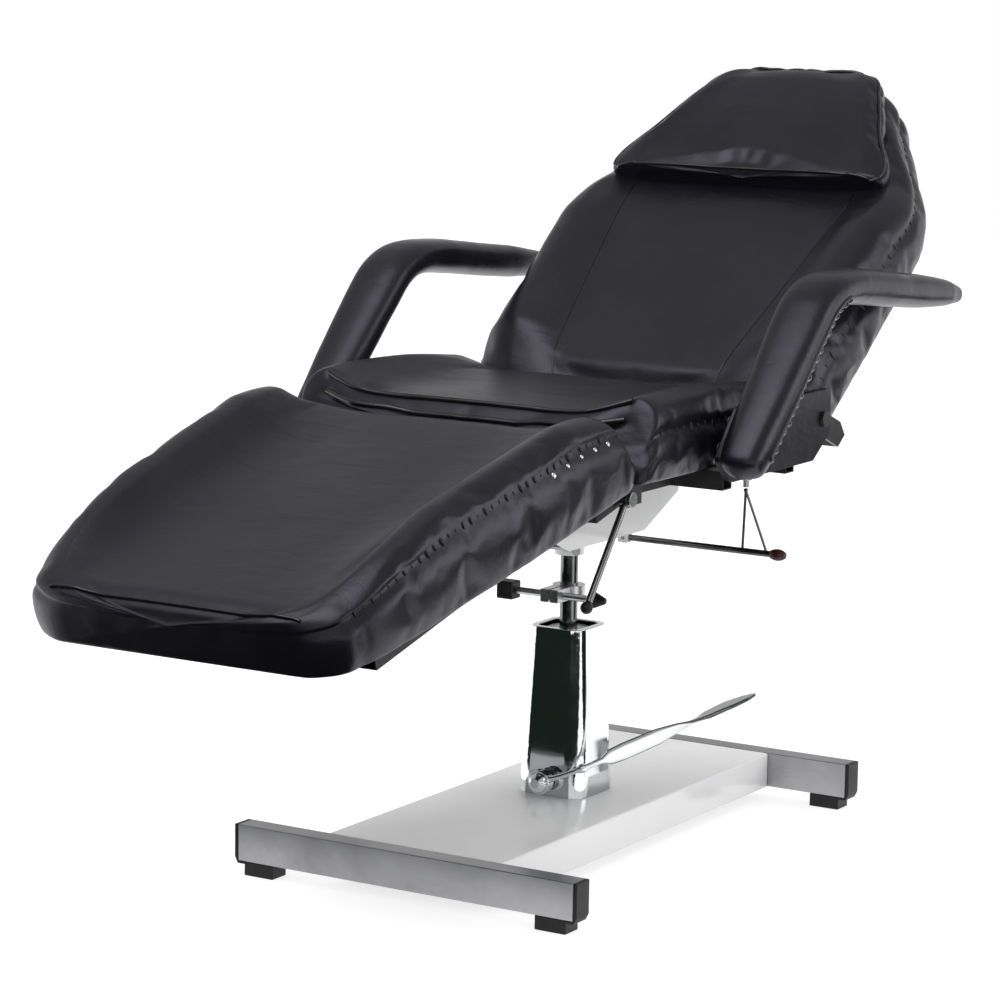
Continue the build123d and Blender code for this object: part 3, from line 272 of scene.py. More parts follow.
def build_grain_group():
    """Pebbled grain: small cells with soft valleys and finer noise on them. Puts out a height."""
    tree, given, made = group_tree(
        "grain",
        (("Vector", "NodeSocketVector", None), ("Scale", "NodeSocketFloat", 500.0)),
        (("Height", "NodeSocketFloat"),),
    )
    warp = add_node(tree, "ShaderNodeTexNoise", Detail=2.0)
    cells = add_node(tree, "ShaderNodeTexVoronoi")
    cells.feature = "SMOOTH_F1"
    cells.inputs["Smoothness"].default_value = 0.6
    blend = add_node(tree, "ShaderNodeMix", Factor=0.4)
    link_nodes(tree, (
        (given, "Vector", warp, "Vector"), (given, "Scale", warp, "Scale"),
        (given, "Vector", cells, "Vector"), (given, "Scale", cells, "Scale"), (cells, "Distance", blend, "A"),
        (warp, "Fac", blend, "B"), (blend, "Result", made, "Height"),
    ))
    return tree


def build_brush_group():
    """Fine lines drawn out along one direction, as abrasive leaves them. The vector is stretched first."""
    tree, given, made = group_tree(
        "brushed_lines",
        (("Vector", "NodeSocketVector", None), ("Stretch", "NodeSocketVector", (1.0, 1.0, 1.0))),
        (("Height", "NodeSocketFloat"), ("Mask", "NodeSocketFloat")),
    )
    scaled = add_node(tree, "ShaderNodeVectorMath")
    scaled.operation = "MULTIPLY"
    fine = add_node(tree, "ShaderNodeTexNoise", Scale=1.0, Detail=4.0, Roughness=0.65)
    spread = add_node(tree, "ShaderNodeMapRange", From_Min=0.3, From_Max=0.7)
    link_nodes(tree, (
        (given, "Vector", scaled, 0), (given, "Stretch", scaled, 1), (scaled, "Vector", fine, "Vector"),
        (fine, "Fac", made, "Height"), (fine, "Fac", spread, "Value"), (spread, "Result", made, "Mask"),
    ))
    return tree


mottle_group = build_mottle_group()
range_group = build_range_group()
grain_group = build_grain_group()
brush_group = build_brush_group()


def grouped(tree, group, **values):
    """A shader node group placed in a material, with its own values."""
    node = add_node(tree, "ShaderNodeGroup")
    node.node_tree = group
    for label, value in values.items():
        node.inputs[label].default_value = value
    return node


def finish_material(name, dark, light, patch_scale, rough, metal=0.0, coat=0.0, specular=0.5,
                    relief="grain", relief_scale=500.0, relief_depth=0.0001, stretch=(1.0, 1.0, 1.0)):
    """A finish: two close colours in patches, roughness that follows them, and a relief of grain or lines."""
    material = bpy.data.materials.new(name)
    material.use_nodes = True
    tree = material.node_tree
    shader = tree.nodes["Principled BSDF"]
    for label, value in (("Metallic", metal), ("Coat Weight", coat), ("Coat Roughness", coat_rough),
                         ("Specular IOR Level", specular)):
        shader.inputs[label].default_value = value
    place = add_node(tree, "ShaderNodeTexCoord")
    patches = grouped(tree, mottle_group, Scale=patch_scale, Dark=dark, Light=light)
    gloss = grouped(tree, range_group, Low=rough[0], High=rough[1])
    bump = add_node(tree, "ShaderNodeBump", Strength=1.0, Distance=relief_depth)
    if relief == "grain":
        lines = grouped(tree, grain_group, Scale=relief_scale)
        masked = patches
    else:
        lines = grouped(tree, brush_group, Stretch=stretch)
        masked = lines
    link_nodes(tree, (
        (place, "Object", patches, "Vector"), (place, "Object", lines, "Vector"),
        (masked, "Mask", gloss, "Mask"),
        (lines, "Height", bump, "Height"), (patches, "Color", shader, "Base Color"),
        (gloss, "Value", shader, "Roughness"), (bump, "Normal", shader, "Normal"),
    ))
    return material


def piece_from(name, mesh, material, body, slot, *nodes):
    """Put a finished mesh in the scene, on its body, in place of the CAD nodes it stands for."""
    piece = bpy.data.objects.new(name, mesh)
    scene.collection.objects.link(piece)
    mesh.materials.clear()
    mesh.materials.append(material)
    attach(piece, body)
    if nodes:
        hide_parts(*nodes)
    return piece


def drafted(name, mesh):
    """Passing object that takes a mesh through its modifiers."""
    draft = bpy.data.objects.new(name + "_draft", mesh)
    scene.collection.objects.link(draft)
    return draft


def evaluated_mesh(draft):
    """Plain mesh of a passing object as its modifiers leave it. The object goes."""
    bpy.context.view_layer.update()
    graph = bpy.context.evaluated_depsgraph_get()
    mesh = bpy.data.meshes.new_from_object(draft.evaluated_get(graph))
    bpy.data.objects.remove(draft)
    return mesh


def shaded_smooth(mesh, crease=None):
    """Smooth shading all over a mesh, broken at edges sharper than the crease, if one is given."""
    mesh.polygons.foreach_set("use_smooth", [True] * len(mesh.polygons))
    if crease:
        mesh.set_sharp_from_angle(angle=math.radians(crease))


def dressed(node, edge, material, body, slot=None, segments=2, crease=28.0, inner_edges=True):
    """A CAD node's shape with its edges broken as the real piece's are, shaded smooth between its edges.

    The slot has the material's name, less Blender's number, where none is given; the slot is not used.
    Without inner edges only the outer ones are broken.
    """
    mesh = frame["nodes"][node].data.copy()
    shape = bmesh.new()
    shape.from_mesh(mesh)
    bmesh.ops.remove_doubles(shape, verts=shape.verts, dist=weld_distance)
    bmesh.ops.dissolve_limit(shape, angle_limit=math.radians(flat_angle), verts=shape.verts,
                             edges=shape.edges)
    if not inner_edges:
        rim = [e for e in shape.edges if e.is_manifold and e.calc_face_angle_signed() > math.radians(crease)]
        bmesh.ops.bevel(shape, geom=rim, offset=edge, segments=segments, affect="EDGES", profile=0.5)
        many_sided = [f for f in shape.faces if len(f.verts) > 4]
        bmesh.ops.triangulate(shape, faces=many_sided, ngon_method="EAR_CLIP")
    shape.to_mesh(mesh)
    shape.free()
    shaded_smooth(mesh, None if edge else crease)
    draft = drafted(node, mesh)
    if edge and inner_edges:
        bevel = draft.modifiers.new("edge", "BEVEL")
        bevel.width = edge
        bevel.segments = segments
        bevel.limit_method = "ANGLE"
        bevel.angle_limit = math.radians(crease)
    if edge:
        draft.modifiers.new("flat_faces", "WEIGHTED_NORMAL")
    slot = slot or material.name.split(".")[0]
    return piece_from(node + "_finish", evaluated_mesh(draft), material, body, slot, node)


# Edge radii by the kind of piece, from thin wire to the padded side boards.
wire_edge, rod_edge, turned_edge, collar_edge, saddle_edge = 0.0002, 0.0005, 0.0006, 0.0008, 0.0009
board_edge, plate_edge, cover_edge, cast_edge, frame_edge = 0.001, 0.0012, 0.0014, 0.0015, 0.0018
grip_edge, padded_edge = 0.002, 0.003
white_enamel = finish_material("white_enamel", enamel_shade, enamel_white, 3.0, (0.13, 0.24), coat=0.4,
                               relief_scale=180.0, relief_depth=0.00012)


def folded_box(name, low, high):
    """Mesh of a sheet box with no bottom, its edges rounded and its wall drawn inwards."""
    shape = bmesh.new()
    corners = [shape.verts.new((x, y, z)) for z in (low[2], high[2]) for y in (low[1], high[1])
               for x in (low[0], high[0])]
    for face in ((4, 5, 7, 6), (0, 1, 5, 4), (1, 3, 7, 5), (3, 2, 6, 7), (2, 0, 4, 6)):
        shape.faces.new([corners[i] for i in face])
    folds = [e for e in shape.edges if len(e.link_faces) == 2]
    bmesh.ops.bevel(shape, geom=folds, offset=sheet_bend, segments=4, affect="EDGES", profile=0.5)
    mesh = bpy.data.meshes.new(name)
    shape.to_mesh(mesh)
    shape.free()
    draft = drafted(name, mesh)
    wall = draft.modifiers.new("wall", "SOLIDIFY")
    wall.thickness = sheet_wall
    wall.offset = -1.0
    result = evaluated_mesh(draft)
    shaded_smooth(result, 40)
    return result


piece_from("base_plate_shell", folded_box("base_plate_shell", *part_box("base_plate")), white_enamel, "base",
           "white_enamel", "base_plate")

# Cross tubes: two rectangular steel tubes, brushed along their length and lacquered, with moulded plastic
# caps pressed into both ends that reach down as the feet.
tube_edge, foot_edge = 0.0022, 0.0012
bar_dark = (0.30, 0.30, 0.31, 1.0)
bar_light = (0.46, 0.46, 0.475, 1.0)
plastic_dark = (0.006, 0.006, 0.0065, 1.0)
plastic_light = (0.013, 0.013, 0.0135, 1.0)
brushed_steel = finish_material("brushed_steel_bars", bar_dark, bar_light, 6.0, (0.26, 0.42), metal=1.0,
                                relief="brushed", relief_depth=0.00006, stretch=(9.0, 1400.0, 1400.0))
black_plastic = finish_material("black_plastic", plastic_dark, plastic_light, 30.0, (0.38, 0.52),
                                specular=0.3, relief_scale=900.0, relief_depth=0.00008)
for bar_name in ("front_crossbar", "rear_crossbar"):
    dressed(bar_name, tube_edge, brushed_steel, "base", segments=3)
dressed("bar_end_feet", foot_edge, black_plastic, "base", segments=3, inner_edges=False)

# Pump: a steel foot plate bolted through the base, a cast block with the lifting cylinder on it, the gland
# in its mouth, and the piston with its seal inside. Turned faces keep the tool's rings.
steel_dark = (0.42, 0.42, 0.43, 1.0)
steel_light = (0.60, 0.60, 0.61, 1.0)
cast_dark = (0.05, 0.052, 0.056, 1.0)
cast_light = (0.11, 0.112, 0.118, 1.0)
seal_dark = (0.012, 0.012, 0.012, 1.0)
seal_light = (0.024, 0.024, 0.025, 1.0)
machined_steel = finish_material("machined_steel", steel_dark, steel_light, 25.0, (0.22, 0.38), metal=1.0,
                                 relief="brushed", relief_depth=0.00004, stretch=(60.0, 60.0, 2600.0))
cast_pump = finish_material("cast_pump", cast_dark, cast_light, 18.0, (0.45, 0.65), relief_scale=420.0,
                            relief_depth=0.0004)
rubber_seal = finish_material("rubber_seal", seal_dark, seal_light, 60.0, (0.5, 0.62), relief_scale=1500.0,
                              relief_depth=0.00004)
dressed("pump_flange", plate_edge, machined_steel, "base")
dressed("pump_bolts", turned_edge, machined_steel, "base")
dressed("pump_cylinder", cast_edge, cast_pump, "base")
dressed("pump_gland", collar_edge, machined_steel, "base")
dressed("ram_piston", turned_edge, machined_steel, "ram")
dressed("piston_seal", rod_edge, rubber_seal, "ram")

# Pump cover: pressed from thin steel and chromed, a rounded square that tapers to an open, rolled rim, with
# a hole in front for the pedal's axle.
chrome_dark = (0.74, 0.75, 0.76, 1.0)
chrome_light = (0.83, 0.84, 0.85, 1.0)
chrome = finish_material("chrome", chrome_dark, chrome_light, 14.0, (0.035, 0.085), metal=1.0,
                         relief_scale=60.0, relief_depth=0.00003)
dressed("pump_cover", cover_edge, chrome, "base", segments=3)

# Pedal: an axle out of the pump block with a spacer sleeve and a domed head, and a lever that turns on it.
# The lever leaves its hub as a thin round rod, goes round the cover's corner as a flat bar on edge, and is
# twisted flat at the end into a leaf shaped tread with a raised rim.
pedal_path = (
    (0.014, -0.068, 0.0985), (0.034, -0.068, 0.106), (0.058, -0.066, 0.117), (0.078, -0.050, 0.127),
    (0.100, -0.016, 0.139), (0.132, 0.034, 0.157), (0.164, 0.0823, 0.175), (0.188, 0.119, 0.190),
    (0.2135, 0.157, 0.2035),
)
pedal_stations = (
    (0.0, 0.0042, 0.0042, 90), (0.10, 0.0036, 0.0036, 90), (0.14, 0.0036, 0.0036, 90),
    (0.155, 0.0062, 0.0062, 90), (0.17, 0.0062, 0.0062, 90), (0.185, 0.0038, 0.0038, 90),
    (0.25, 0.0040, 0.0034, 90), (0.29, 0.0098, 0.0030, 90), (0.36, 0.0112, 0.0030, 90),
    (0.52, 0.0105, 0.0030, 88), (0.62, 0.0085, 0.0032, 60), (0.68, 0.0085, 0.0034, 20),
    (0.76, 0.0120, 0.0034, 0), (0.87, 0.0150, 0.0032, 0), (0.95, 0.0105, 0.0028, 0), (1.0, 0.0024, 0.0016, 0),
)
pedal_rings, pedal_sides, pedal_squareness = 120, 20, 3.2
rim_start = 34
# Rod steel: its colour is set far darker than polished steel's own, so that the chrome rod, levers, wire and
# pedal rims show dark; a painted dark reflection.
rod_painted_dark_low = (0.16, 0.16, 0.163, 1.0)
rod_painted_dark_high = (0.25, 0.25, 0.255, 1.0)
rod_steel_painted_dark = finish_material("rod_steel_painted_dark", rod_painted_dark_low, rod_painted_dark_high, 30.0, (0.14, 0.24), metal=1.0,
                               relief_scale=300.0, relief_depth=0.00003)
hub_radius, hub_width, hub_bore, hub_soft = 0.017, 0.014, 0.00805, 0.0012
hub_face, hub_height, hub_turns = -0.0751, 0.093, 40


def smooth_path(points, count):
    """Evenly spaced places on a smooth curve through the points."""
    points = np.asarray(points, float)
    padded = np.vstack((2 * points[0] - points[1], points, 2 * points[-1] - points[-2]))
    fine = []
    for row in range(len(points) - 1):
        before, start, end, after = padded[row: row + 4]
        for t in np.linspace(0, 1, 24, endpoint=False):
            fine.append(0.5 * (2 * start + (end - before) * t
                               + (2 * before - 5 * start + 4 * end - after) * t**2
                               + (3 * start - before - 3 * end + after) * t**3))
    fine = np.array(fine + [points[-1]])
    lengths = np.concatenate(([0.0], np.cumsum(np.linalg.norm(np.diff(fine, axis=0), axis=1))))
    wanted = np.linspace(0, lengths[-1], count)
    return np.array([np.interp(wanted, lengths, axis) for axis in fine.T]).T


def section_rings(path, wide_way, wide, thick, power, sides):
    """Rings round a path: rounded sections, half as wide and thick as given, their width along wide_way."""
    tangents = np.gradient(path, axis=0)
    tangents /= np.linalg.norm(tangents, axis=1)[:, None]
    across = wide_way - (wide_way * tangents).sum(axis=1)[:, None] * tangents
    across /= np.linalg.norm(across, axis=1)[:, None]
    through = np.cross(tangents, across)
    turn = np.arange(sides) / sides * math.tau
    x = np.sign(np.cos(turn)) * abs(np.cos(turn)) ** (2 / power)
    y = np.sign(np.sin(turn)) * abs(np.sin(turn)) ** (2 / power)
    return (path[:, None, :] + across[:, None, :] * (x[None, :] * wide[:, None])[:, :, None]
            + through[:, None, :] * (y[None, :] * thick[:, None])[:, :, None])


def closed_mesh(name, rings, first_middle, last_middle):
    """Mesh skin over rings of equal count, closed at both ends by a fan."""
    count = len(rings[0])
    points = [tuple(p) for ring in rings for p in ring]
    faces = []
    for row in range(len(rings) - 1):
        for column in range(count):
            after = (column + 1) % count
            faces.append((row * count + column, row * count + after, (row + 1) * count + after,
                          (row + 1) * count + column))
    first, last = len(points), len(points) + 1
    points += [tuple(first_middle), tuple(last_middle)]
    top = (len(rings) - 1) * count
    for column in range(count):
        after = (column + 1) % count
        faces.append((after, column, first))
        faces.append((top + column, top + after, last))
    mesh = bpy.data.meshes.new(name)
    mesh.from_pydata(points, [], faces)
    shape = bmesh.new()
    shape.from_mesh(mesh)
    bmesh.ops.recalc_face_normals(shape, faces=shape.faces)
    shape.to_mesh(mesh)
    shape.free()
    return mesh


def nodes_tree(name, inputs):
    """Geometry node tree with a geometry in and out, and further named inputs."""
    tree = bpy.data.node_groups.new(name, "GeometryNodeTree")
    tree.interface.new_socket("Geometry", in_out="INPUT", socket_type="NodeSocketGeometry")
    for label, kind in inputs:
        tree.interface.new_socket(label, in_out="INPUT", socket_type=kind)
    tree.interface.new_socket("Geometry", in_out="OUTPUT", socket_type="NodeSocketGeometry")
    return tree, tree.nodes.new("NodeGroupInput"), tree.nodes.new("NodeGroupOutput")


def build_cord_tree():
    """Round cord along a mesh line."""
    tree, given, made = nodes_tree(
        "cord", (("Radius", "NodeSocketFloat"), ("Material", "NodeSocketMaterial")))
    line = add_node(tree, "GeometryNodeMeshToCurve")
    profile = add_node(tree, "GeometryNodeCurvePrimitiveCircle", Resolution=10)
    skin = add_node(tree, "GeometryNodeCurveToMesh", Fill_Caps=True)
    smooth = add_node(tree, "GeometryNodeSetShadeSmooth")
    finish = add_node(tree, "GeometryNodeSetMaterial")
    link_nodes(tree, (
        (given, "Geometry", line, "Mesh"), (given, "Radius", profile, "Radius"),
        (line, "Curve", skin, "Curve"), (profile, "Curve", skin, "Profile Curve"),
        (skin, "Mesh", smooth, "Geometry"), (smooth, "Geometry", finish, "Geometry"),
        (given, "Material", finish, "Material"), (finish, "Geometry", made, "Geometry"),
    ))
    return tree


def build_repeat_tree():
    """Small rounded bodies at even steps along a mesh line, laid along it and towards its attribute 'out'."""
    tree, given, made = nodes_tree("repeats", (
        ("Spacing", "NodeSocketFloat"), ("Size", "NodeSocketVector"), ("Spread", "NodeSocketFloat"),
        ("Material", "NodeSocketMaterial"),
    ))
    line = add_node(tree, "GeometryNodeMeshToCurve")
    steps = add_node(tree, "GeometryNodeResampleCurve")
    steps.mode = "LENGTH"
    bead = add_node(tree, "GeometryNodeMeshUVSphere", Segments=8, Rings=5, Radius=0.5)
    tangent = add_node(tree, "GeometryNodeInputTangent")
    outward = add_node(tree, "GeometryNodeInputNamedAttribute", Name="out")
    outward.data_type = "FLOAT_VECTOR"
    turn = add_node(tree, "FunctionNodeAxesToRotation")
    turn.primary_axis = "X"
    turn.secondary_axis = "Z"
    least = add_node(tree, "ShaderNodeMath")
    least.operation = "SUBTRACT"
    least.inputs[0].default_value = 1.0
    chance = add_node(tree, "FunctionNodeRandomValue", Seed=7)
    chance.data_type = "FLOAT"
    chance.inputs[3].default_value = 1.0
    scale = add_node(tree, "ShaderNodeVectorMath")
    scale.operation = "SCALE"
    spread = add_node(tree, "GeometryNodeInstanceOnPoints")
    single = add_node(tree, "GeometryNodeRealizeInstances")
    smooth = add_node(tree, "GeometryNodeSetShadeSmooth")
    finish = add_node(tree, "GeometryNodeSetMaterial")
    link_nodes(tree, (
        (given, "Geometry", line, "Mesh"), (line, "Curve", steps, "Curve"),
        (given, "Spacing", steps, "Length"), (steps, "Curve", spread, "Points"),
        (bead, "Mesh", spread, "Instance"), (tangent, "Tangent", turn, "Primary Axis"),
        (outward, "Attribute", turn, "Secondary Axis"), (turn, "Rotation", spread, "Rotation"),
        (given, "Spread", least, 1), (least, "Value", chance, 2), (given, "Size", scale, "Vector"),
        (chance, 1, scale, "Scale"), (scale, "Vector", spread, "Scale"),
        (spread, "Instances", single, "Geometry"), (single, "Geometry", smooth, "Geometry"),
        (smooth, "Geometry", finish, "Geometry"), (given, "Material", finish, "Material"),
        (finish, "Geometry", made, "Geometry"),
    ))
    return tree


cord_tree = build_cord_tree()
repeat_tree = build_repeat_tree()


def grown(name, lines, tree, material, body, slot, **values):
    """Trim that a node tree grows along lines, each line its places and outward directions."""
    points, edges, outs = [], [], []
    for places, outward in lines:
        edges += [(len(points) + i, len(points) + i + 1) for i in range(len(places) - 1)]
        points += [tuple(p) for p in places]
        outs += [tuple(o) for o in outward]
    mesh = bpy.data.meshes.new(name + "_lines")
    mesh.from_pydata(points, edges, [])
    directions = mesh.attributes.new("out", "FLOAT_VECTOR", "POINT")
    directions.data.foreach_set("vector", np.array(outs, float).ravel())
    draft = drafted(name, mesh)
    growth = draft.modifiers.new("growth", "NODES")
    growth.node_group = tree
    values["Material"] = material
    for item in tree.interface.items_tree:
        if item.in_out == "INPUT" and item.name in values:
            growth[item.identifier] = values[item.name]
    return piece_from(name, evaluated_mesh(draft), material, body, slot)


def traced(mesh, numbers):
    """Places and outward directions along a line of vertices of a finished mesh."""
    line = [mesh.vertices[number] for number in numbers]
    return [v.co for v in line], [v.normal for v in line]


def pedal_mesh():
    """Bar of the pedal with its twist and tread, and the hub it turns on."""
    path = smooth_path(pedal_path, pedal_rings)
    share = np.linspace(0, 1, pedal_rings)
    stations = np.array(pedal_stations)
    wide, thick, angle = (np.interp(share, stations[:, 0], stations[:, i]) for i in (1, 2, 3))
    tangents = np.gradient(path, axis=0)
    level = np.cross(tangents, (0, 0, 1))
    level /= np.linalg.norm(level, axis=1)[:, None]
    turn = np.radians(angle)[:, None]
    wide_way = level * np.cos(turn) + np.array((0, 0, 1)) * np.sin(turn)
    rings = section_rings(path, wide_way, wide, thick, pedal_squareness, pedal_sides)
    mesh = closed_mesh("pedal_bar", rings, path[0], path[-1])
    shape = bmesh.new()
    shape.from_mesh(mesh)
    outline = ((hub_bore, 0), (hub_radius - hub_soft, 0), (hub_radius, hub_soft),
               (hub_radius, hub_width - hub_soft), (hub_radius - hub_soft, hub_width), (hub_bore, hub_width))
    rings = []
    for step in range(hub_turns):
        a = step / hub_turns * math.tau
        rings.append([shape.verts.new((r * math.cos(a), hub_face + d, hub_height + r * math.sin(a)))
                      for r, d in outline])
    hub_faces = []
    for step in range(hub_turns):
        after = rings[(step + 1) % hub_turns]
        for k in range(len(outline)):
            m = (k + 1) % len(outline)
            hub_faces.append(shape.faces.new((rings[step][k], rings[step][m], after[m], after[k])))
    bmesh.ops.recalc_face_normals(shape, faces=hub_faces)
    shape.to_mesh(mesh)
    shape.free()
    shaded_smooth(mesh, 35)
    return mesh


dressed("pedal_axle", collar_edge, chrome, "base")
dressed("pedal_sleeve", turned_edge, machined_steel, "base")
pedal_bar = piece_from("pedal_bar_and_tread", pedal_mesh(), chrome, "pedal", "chrome", "pedal_lever")
rim_rows = range(rim_start, pedal_rings - 1)
pedal_rims = [traced(pedal_bar.data, [row * pedal_sides + column for row in rim_rows])
              for column in (0, pedal_sides // 2)]
# The tread's raised rims take the darkened rod steel, whose colour paints dark reflections along its edges.
grown("pedal_rims", pedal_rims, cord_tree, rod_steel_painted_dark, "pedal", "chrome", Radius=0.0014)

# Rod and socket: the polished rod that lifts the bed, a split collar clamped on it with a bar and two grips,
# and the white socket under the saddle with its small lock screw. The rod is chrome, but it takes the
# darkened rod steel, whose colour paints in its dark reflections.
dressed("piston_rod", turned_edge, rod_steel_painted_dark, "bed", "chrome")
dressed("stop_collar", collar_edge, machined_steel, "bed")
dressed("collar_clamp_bar", rod_edge, machined_steel, "collar_bar")
dressed("clamp_block_grip", grip_edge, black_plastic, "collar_bar", segments=3)
dressed("clamp_cone_grip", plate_edge, black_plastic, "collar_bar")
dressed("head_socket", collar_edge, white_enamel, "bed")
dressed("socket_lock_knob", turned_edge, machined_steel, "socket_lock")

# Saddle: a bent and welded white bracket on the socket. Two side plates carry the seat's frame.
for node in ("saddle_bracket", "saddle_web"):
    dressed(node, saddle_edge, white_enamel, "bed")

# Frames: square steel tubes welded together under the seat, the leg rest and the back, stove enamelled
# black, with the hinge ears, pins and washers between them.
black_dark = (0.014, 0.014, 0.015, 1.0)
black_light = (0.028, 0.028, 0.030, 1.0)
black_enamel = finish_material("black_enamel", black_dark, black_light, 9.0, (0.28, 0.42), coat=0.2,
                               relief_scale=260.0, relief_depth=0.00012)
for node, body in (("seat_frame", "bed"), ("leg_frame", "leg_rest"), ("back_frame", "back")):
    dressed(node, frame_edge, black_enamel, body)
for node in ("back_friction_washers", "leg_hinge_pins", "release_pin", "plunger_bush"):
    dressed(node, turned_edge, machined_steel, "bed")
dressed("back_hinge_pins", board_edge, black_enamel, "bed")
dressed("arm_bolts", turned_edge, black_enamel, "bed", "machined_steel")

# Clamp lever of the leg rest and release bar of the back: a polished lever with a plastic ball, and a
# polished bar on a clevis pin with a dark red knob and a wire stirrup that pulls the plunger. Lever, bar and
# stirrup take the darkened rod steel, whose colour is a painted dark reflection.
red_dark = (0.022, 0.0035, 0.004, 1.0)
red_light = (0.050, 0.006, 0.007, 1.0)
red_plastic = finish_material("red_plastic", red_dark, red_light, 40.0, (0.25, 0.36), relief_scale=700.0,
                              relief_depth=0.00005)
dressed("leg_clamp_lever", rod_edge, rod_steel_painted_dark, "leg_lever", "chrome")
dressed("leg_lever_ball", 0.0, black_plastic, "leg_lever")
dressed("release_bar", rod_edge, rod_steel_painted_dark, "release", "machined_steel")
dressed("release_knob", turned_edge, red_plastic, "release")
dressed("release_stirrup", wire_edge, rod_steel_painted_dark, "release", "machined_steel")
dressed("release_plunger", rod_edge, machined_steel, "plunger")

# Boards: plywood under the cushions, covered from below with black lining cloth, a matt spunbonded felt
# with a fine crossed pattern, which is stapled on all round.
lining_dark = (0.012, 0.012, 0.0125, 1.0)
lining_light = (0.030, 0.030, 0.031, 1.0)
lining = finish_material("lining_cloth", lining_dark, lining_light, 160.0, (0.72, 0.88), specular=0.2,
                         relief_scale=1400.0, relief_depth=0.0002)
staple_spacing, staple_inset = 0.022, 0.012
staple_size = (0.0100, 0.0013, 0.0014)
leg_pivot, back_pivot = (Vector(next(j for j in frame["joints"] if j["name"] == name)["pos_m"])
                         for name in ("leg_tilt", "back_recline"))
leg_drop, back_raise = 14.4, 36.0


def coordinates(mesh):
    """Vertex places of a mesh as an array."""
    values = np.empty(len(mesh.vertices) * 3)
    mesh.vertices.foreach_get("co", values)
    return values.reshape(-1, 3)


def tilted(points, pivot, degrees):
    """Points of a frame that is turned about X at a pivot, in the chair's frame."""
    c, s = math.cos(math.radians(degrees)), math.sin(math.radians(degrees))
    points = np.asarray(points, float)
    out = np.empty_like(points)
    out[..., 0] = points[..., 0] + pivot[0]
    out[..., 1] = pivot[1] + points[..., 1] * c - points[..., 2] * s
    out[..., 2] = pivot[2] + points[..., 1] * s + points[..., 2] * c
    return out


def board_rim(node, pivot, degrees):
    """Line of the staples: the outline of a board's underside drawn inwards, with its downward directions."""
    local = tilted(coordinates(frame["nodes"][node].data) - np.array(pivot), (0, 0, 0), -degrees)
    low = local[:, 2].min()
    flat = sorted({(round(float(x), 5), round(float(y), 5)) for x, y, z in local if z < low + 1e-4})
    hull = []
    for sweep in (flat, flat[::-1]):
        chain = []
        for p in sweep:
            while len(chain) > 1 and ((chain[-1][0] - chain[-2][0]) * (p[1] - chain[-2][1])
                                      - (chain[-1][1] - chain[-2][1]) * (p[0] - chain[-2][0])) <= 0:
                chain.pop()
            chain.append(p)
        hull += chain[:-1]
    hull = np.array(hull + hull[:1])
    middle = (hull.min(axis=0) + hull.max(axis=0)) / 2
    half = hull.max(axis=0) - middle
    rim = middle + (hull - middle) * (1 - staple_inset / half)
    places = tilted(np.column_stack((rim, np.full(len(rim), low))), pivot, degrees)
    down = tilted(np.tile((0.0, 0.0, -1.0), (len(rim), 1)), (0, 0, 0), degrees)
    return places, down


boards = (("seat_board", "bed", (0, 0, 0), 0.0), ("leg_board", "leg_rest", leg_pivot, leg_drop),
          ("back_board", "back", back_pivot, back_raise))
for node, body, pivot, degrees in boards:
    dressed(node, board_edge, lining, body, "covered_board")
    grown(node + "_staples", [board_rim(node, pivot, degrees)], repeat_tree, machined_steel, body,
          "machined_steel", Spacing=staple_spacing, Size=staple_size, Spread=0.05)

# Vinyl: black upholstery vinyl over all soft parts. Fine pebble grain, a satin surface that is a little
# glossier where it is stretched, and the soft creases that foam lets it make.
vinyl_dark = (0.0022, 0.0020, 0.0029, 1.0)
vinyl_light = (0.0052, 0.0048, 0.0066, 1.0)
vinyl_sheen_tint = (0.86, 0.83, 1.0, 1.0)
grain_scale, grain_depth = 620.0, 0.00022
crease_scale, crease_depth = 26.0, 0.0011


def vinyl_material(name, crease_stretch):
    """Grained vinyl; the crease stretch makes the soft creases longer along one direction."""
    material = finish_material(name, vinyl_dark, vinyl_light, 5.0, (0.28, 0.40), specular=0.5,
                               relief_scale=grain_scale, relief_depth=grain_depth)
    tree = material.node_tree
    tree.nodes["Principled BSDF"].inputs["Specular Tint"].default_value = vinyl_sheen_tint
    fine_bump = next(n for n in tree.nodes if n.type == "BUMP")
    place = next(n for n in tree.nodes if n.type == "TEX_COORD")
    lengthen = add_node(tree, "ShaderNodeMapping", Scale=crease_stretch)
    creases = add_node(tree, "ShaderNodeTexNoise", Scale=crease_scale, Detail=3.0, Distortion=0.6)
    soft_bump = add_node(tree, "ShaderNodeBump", Distance=crease_depth, Strength=1.0)
    link_nodes(tree, (
        (place, "Object", lengthen, "Vector"), (lengthen, "Vector", creases, "Vector"),
        (creases, "Fac", soft_bump, "Height"), (soft_bump, "Normal", fine_bump, "Normal"),
    ))
    return material


vinyl = vinyl_material("black_vinyl", (0.5, 1.0, 1.0))
piping_vinyl = finish_material("piping_vinyl", vinyl_dark, vinyl_light, 20.0, (0.17, 0.25), specular=0.6,
                               relief_scale=900.0, relief_depth=0.0001)


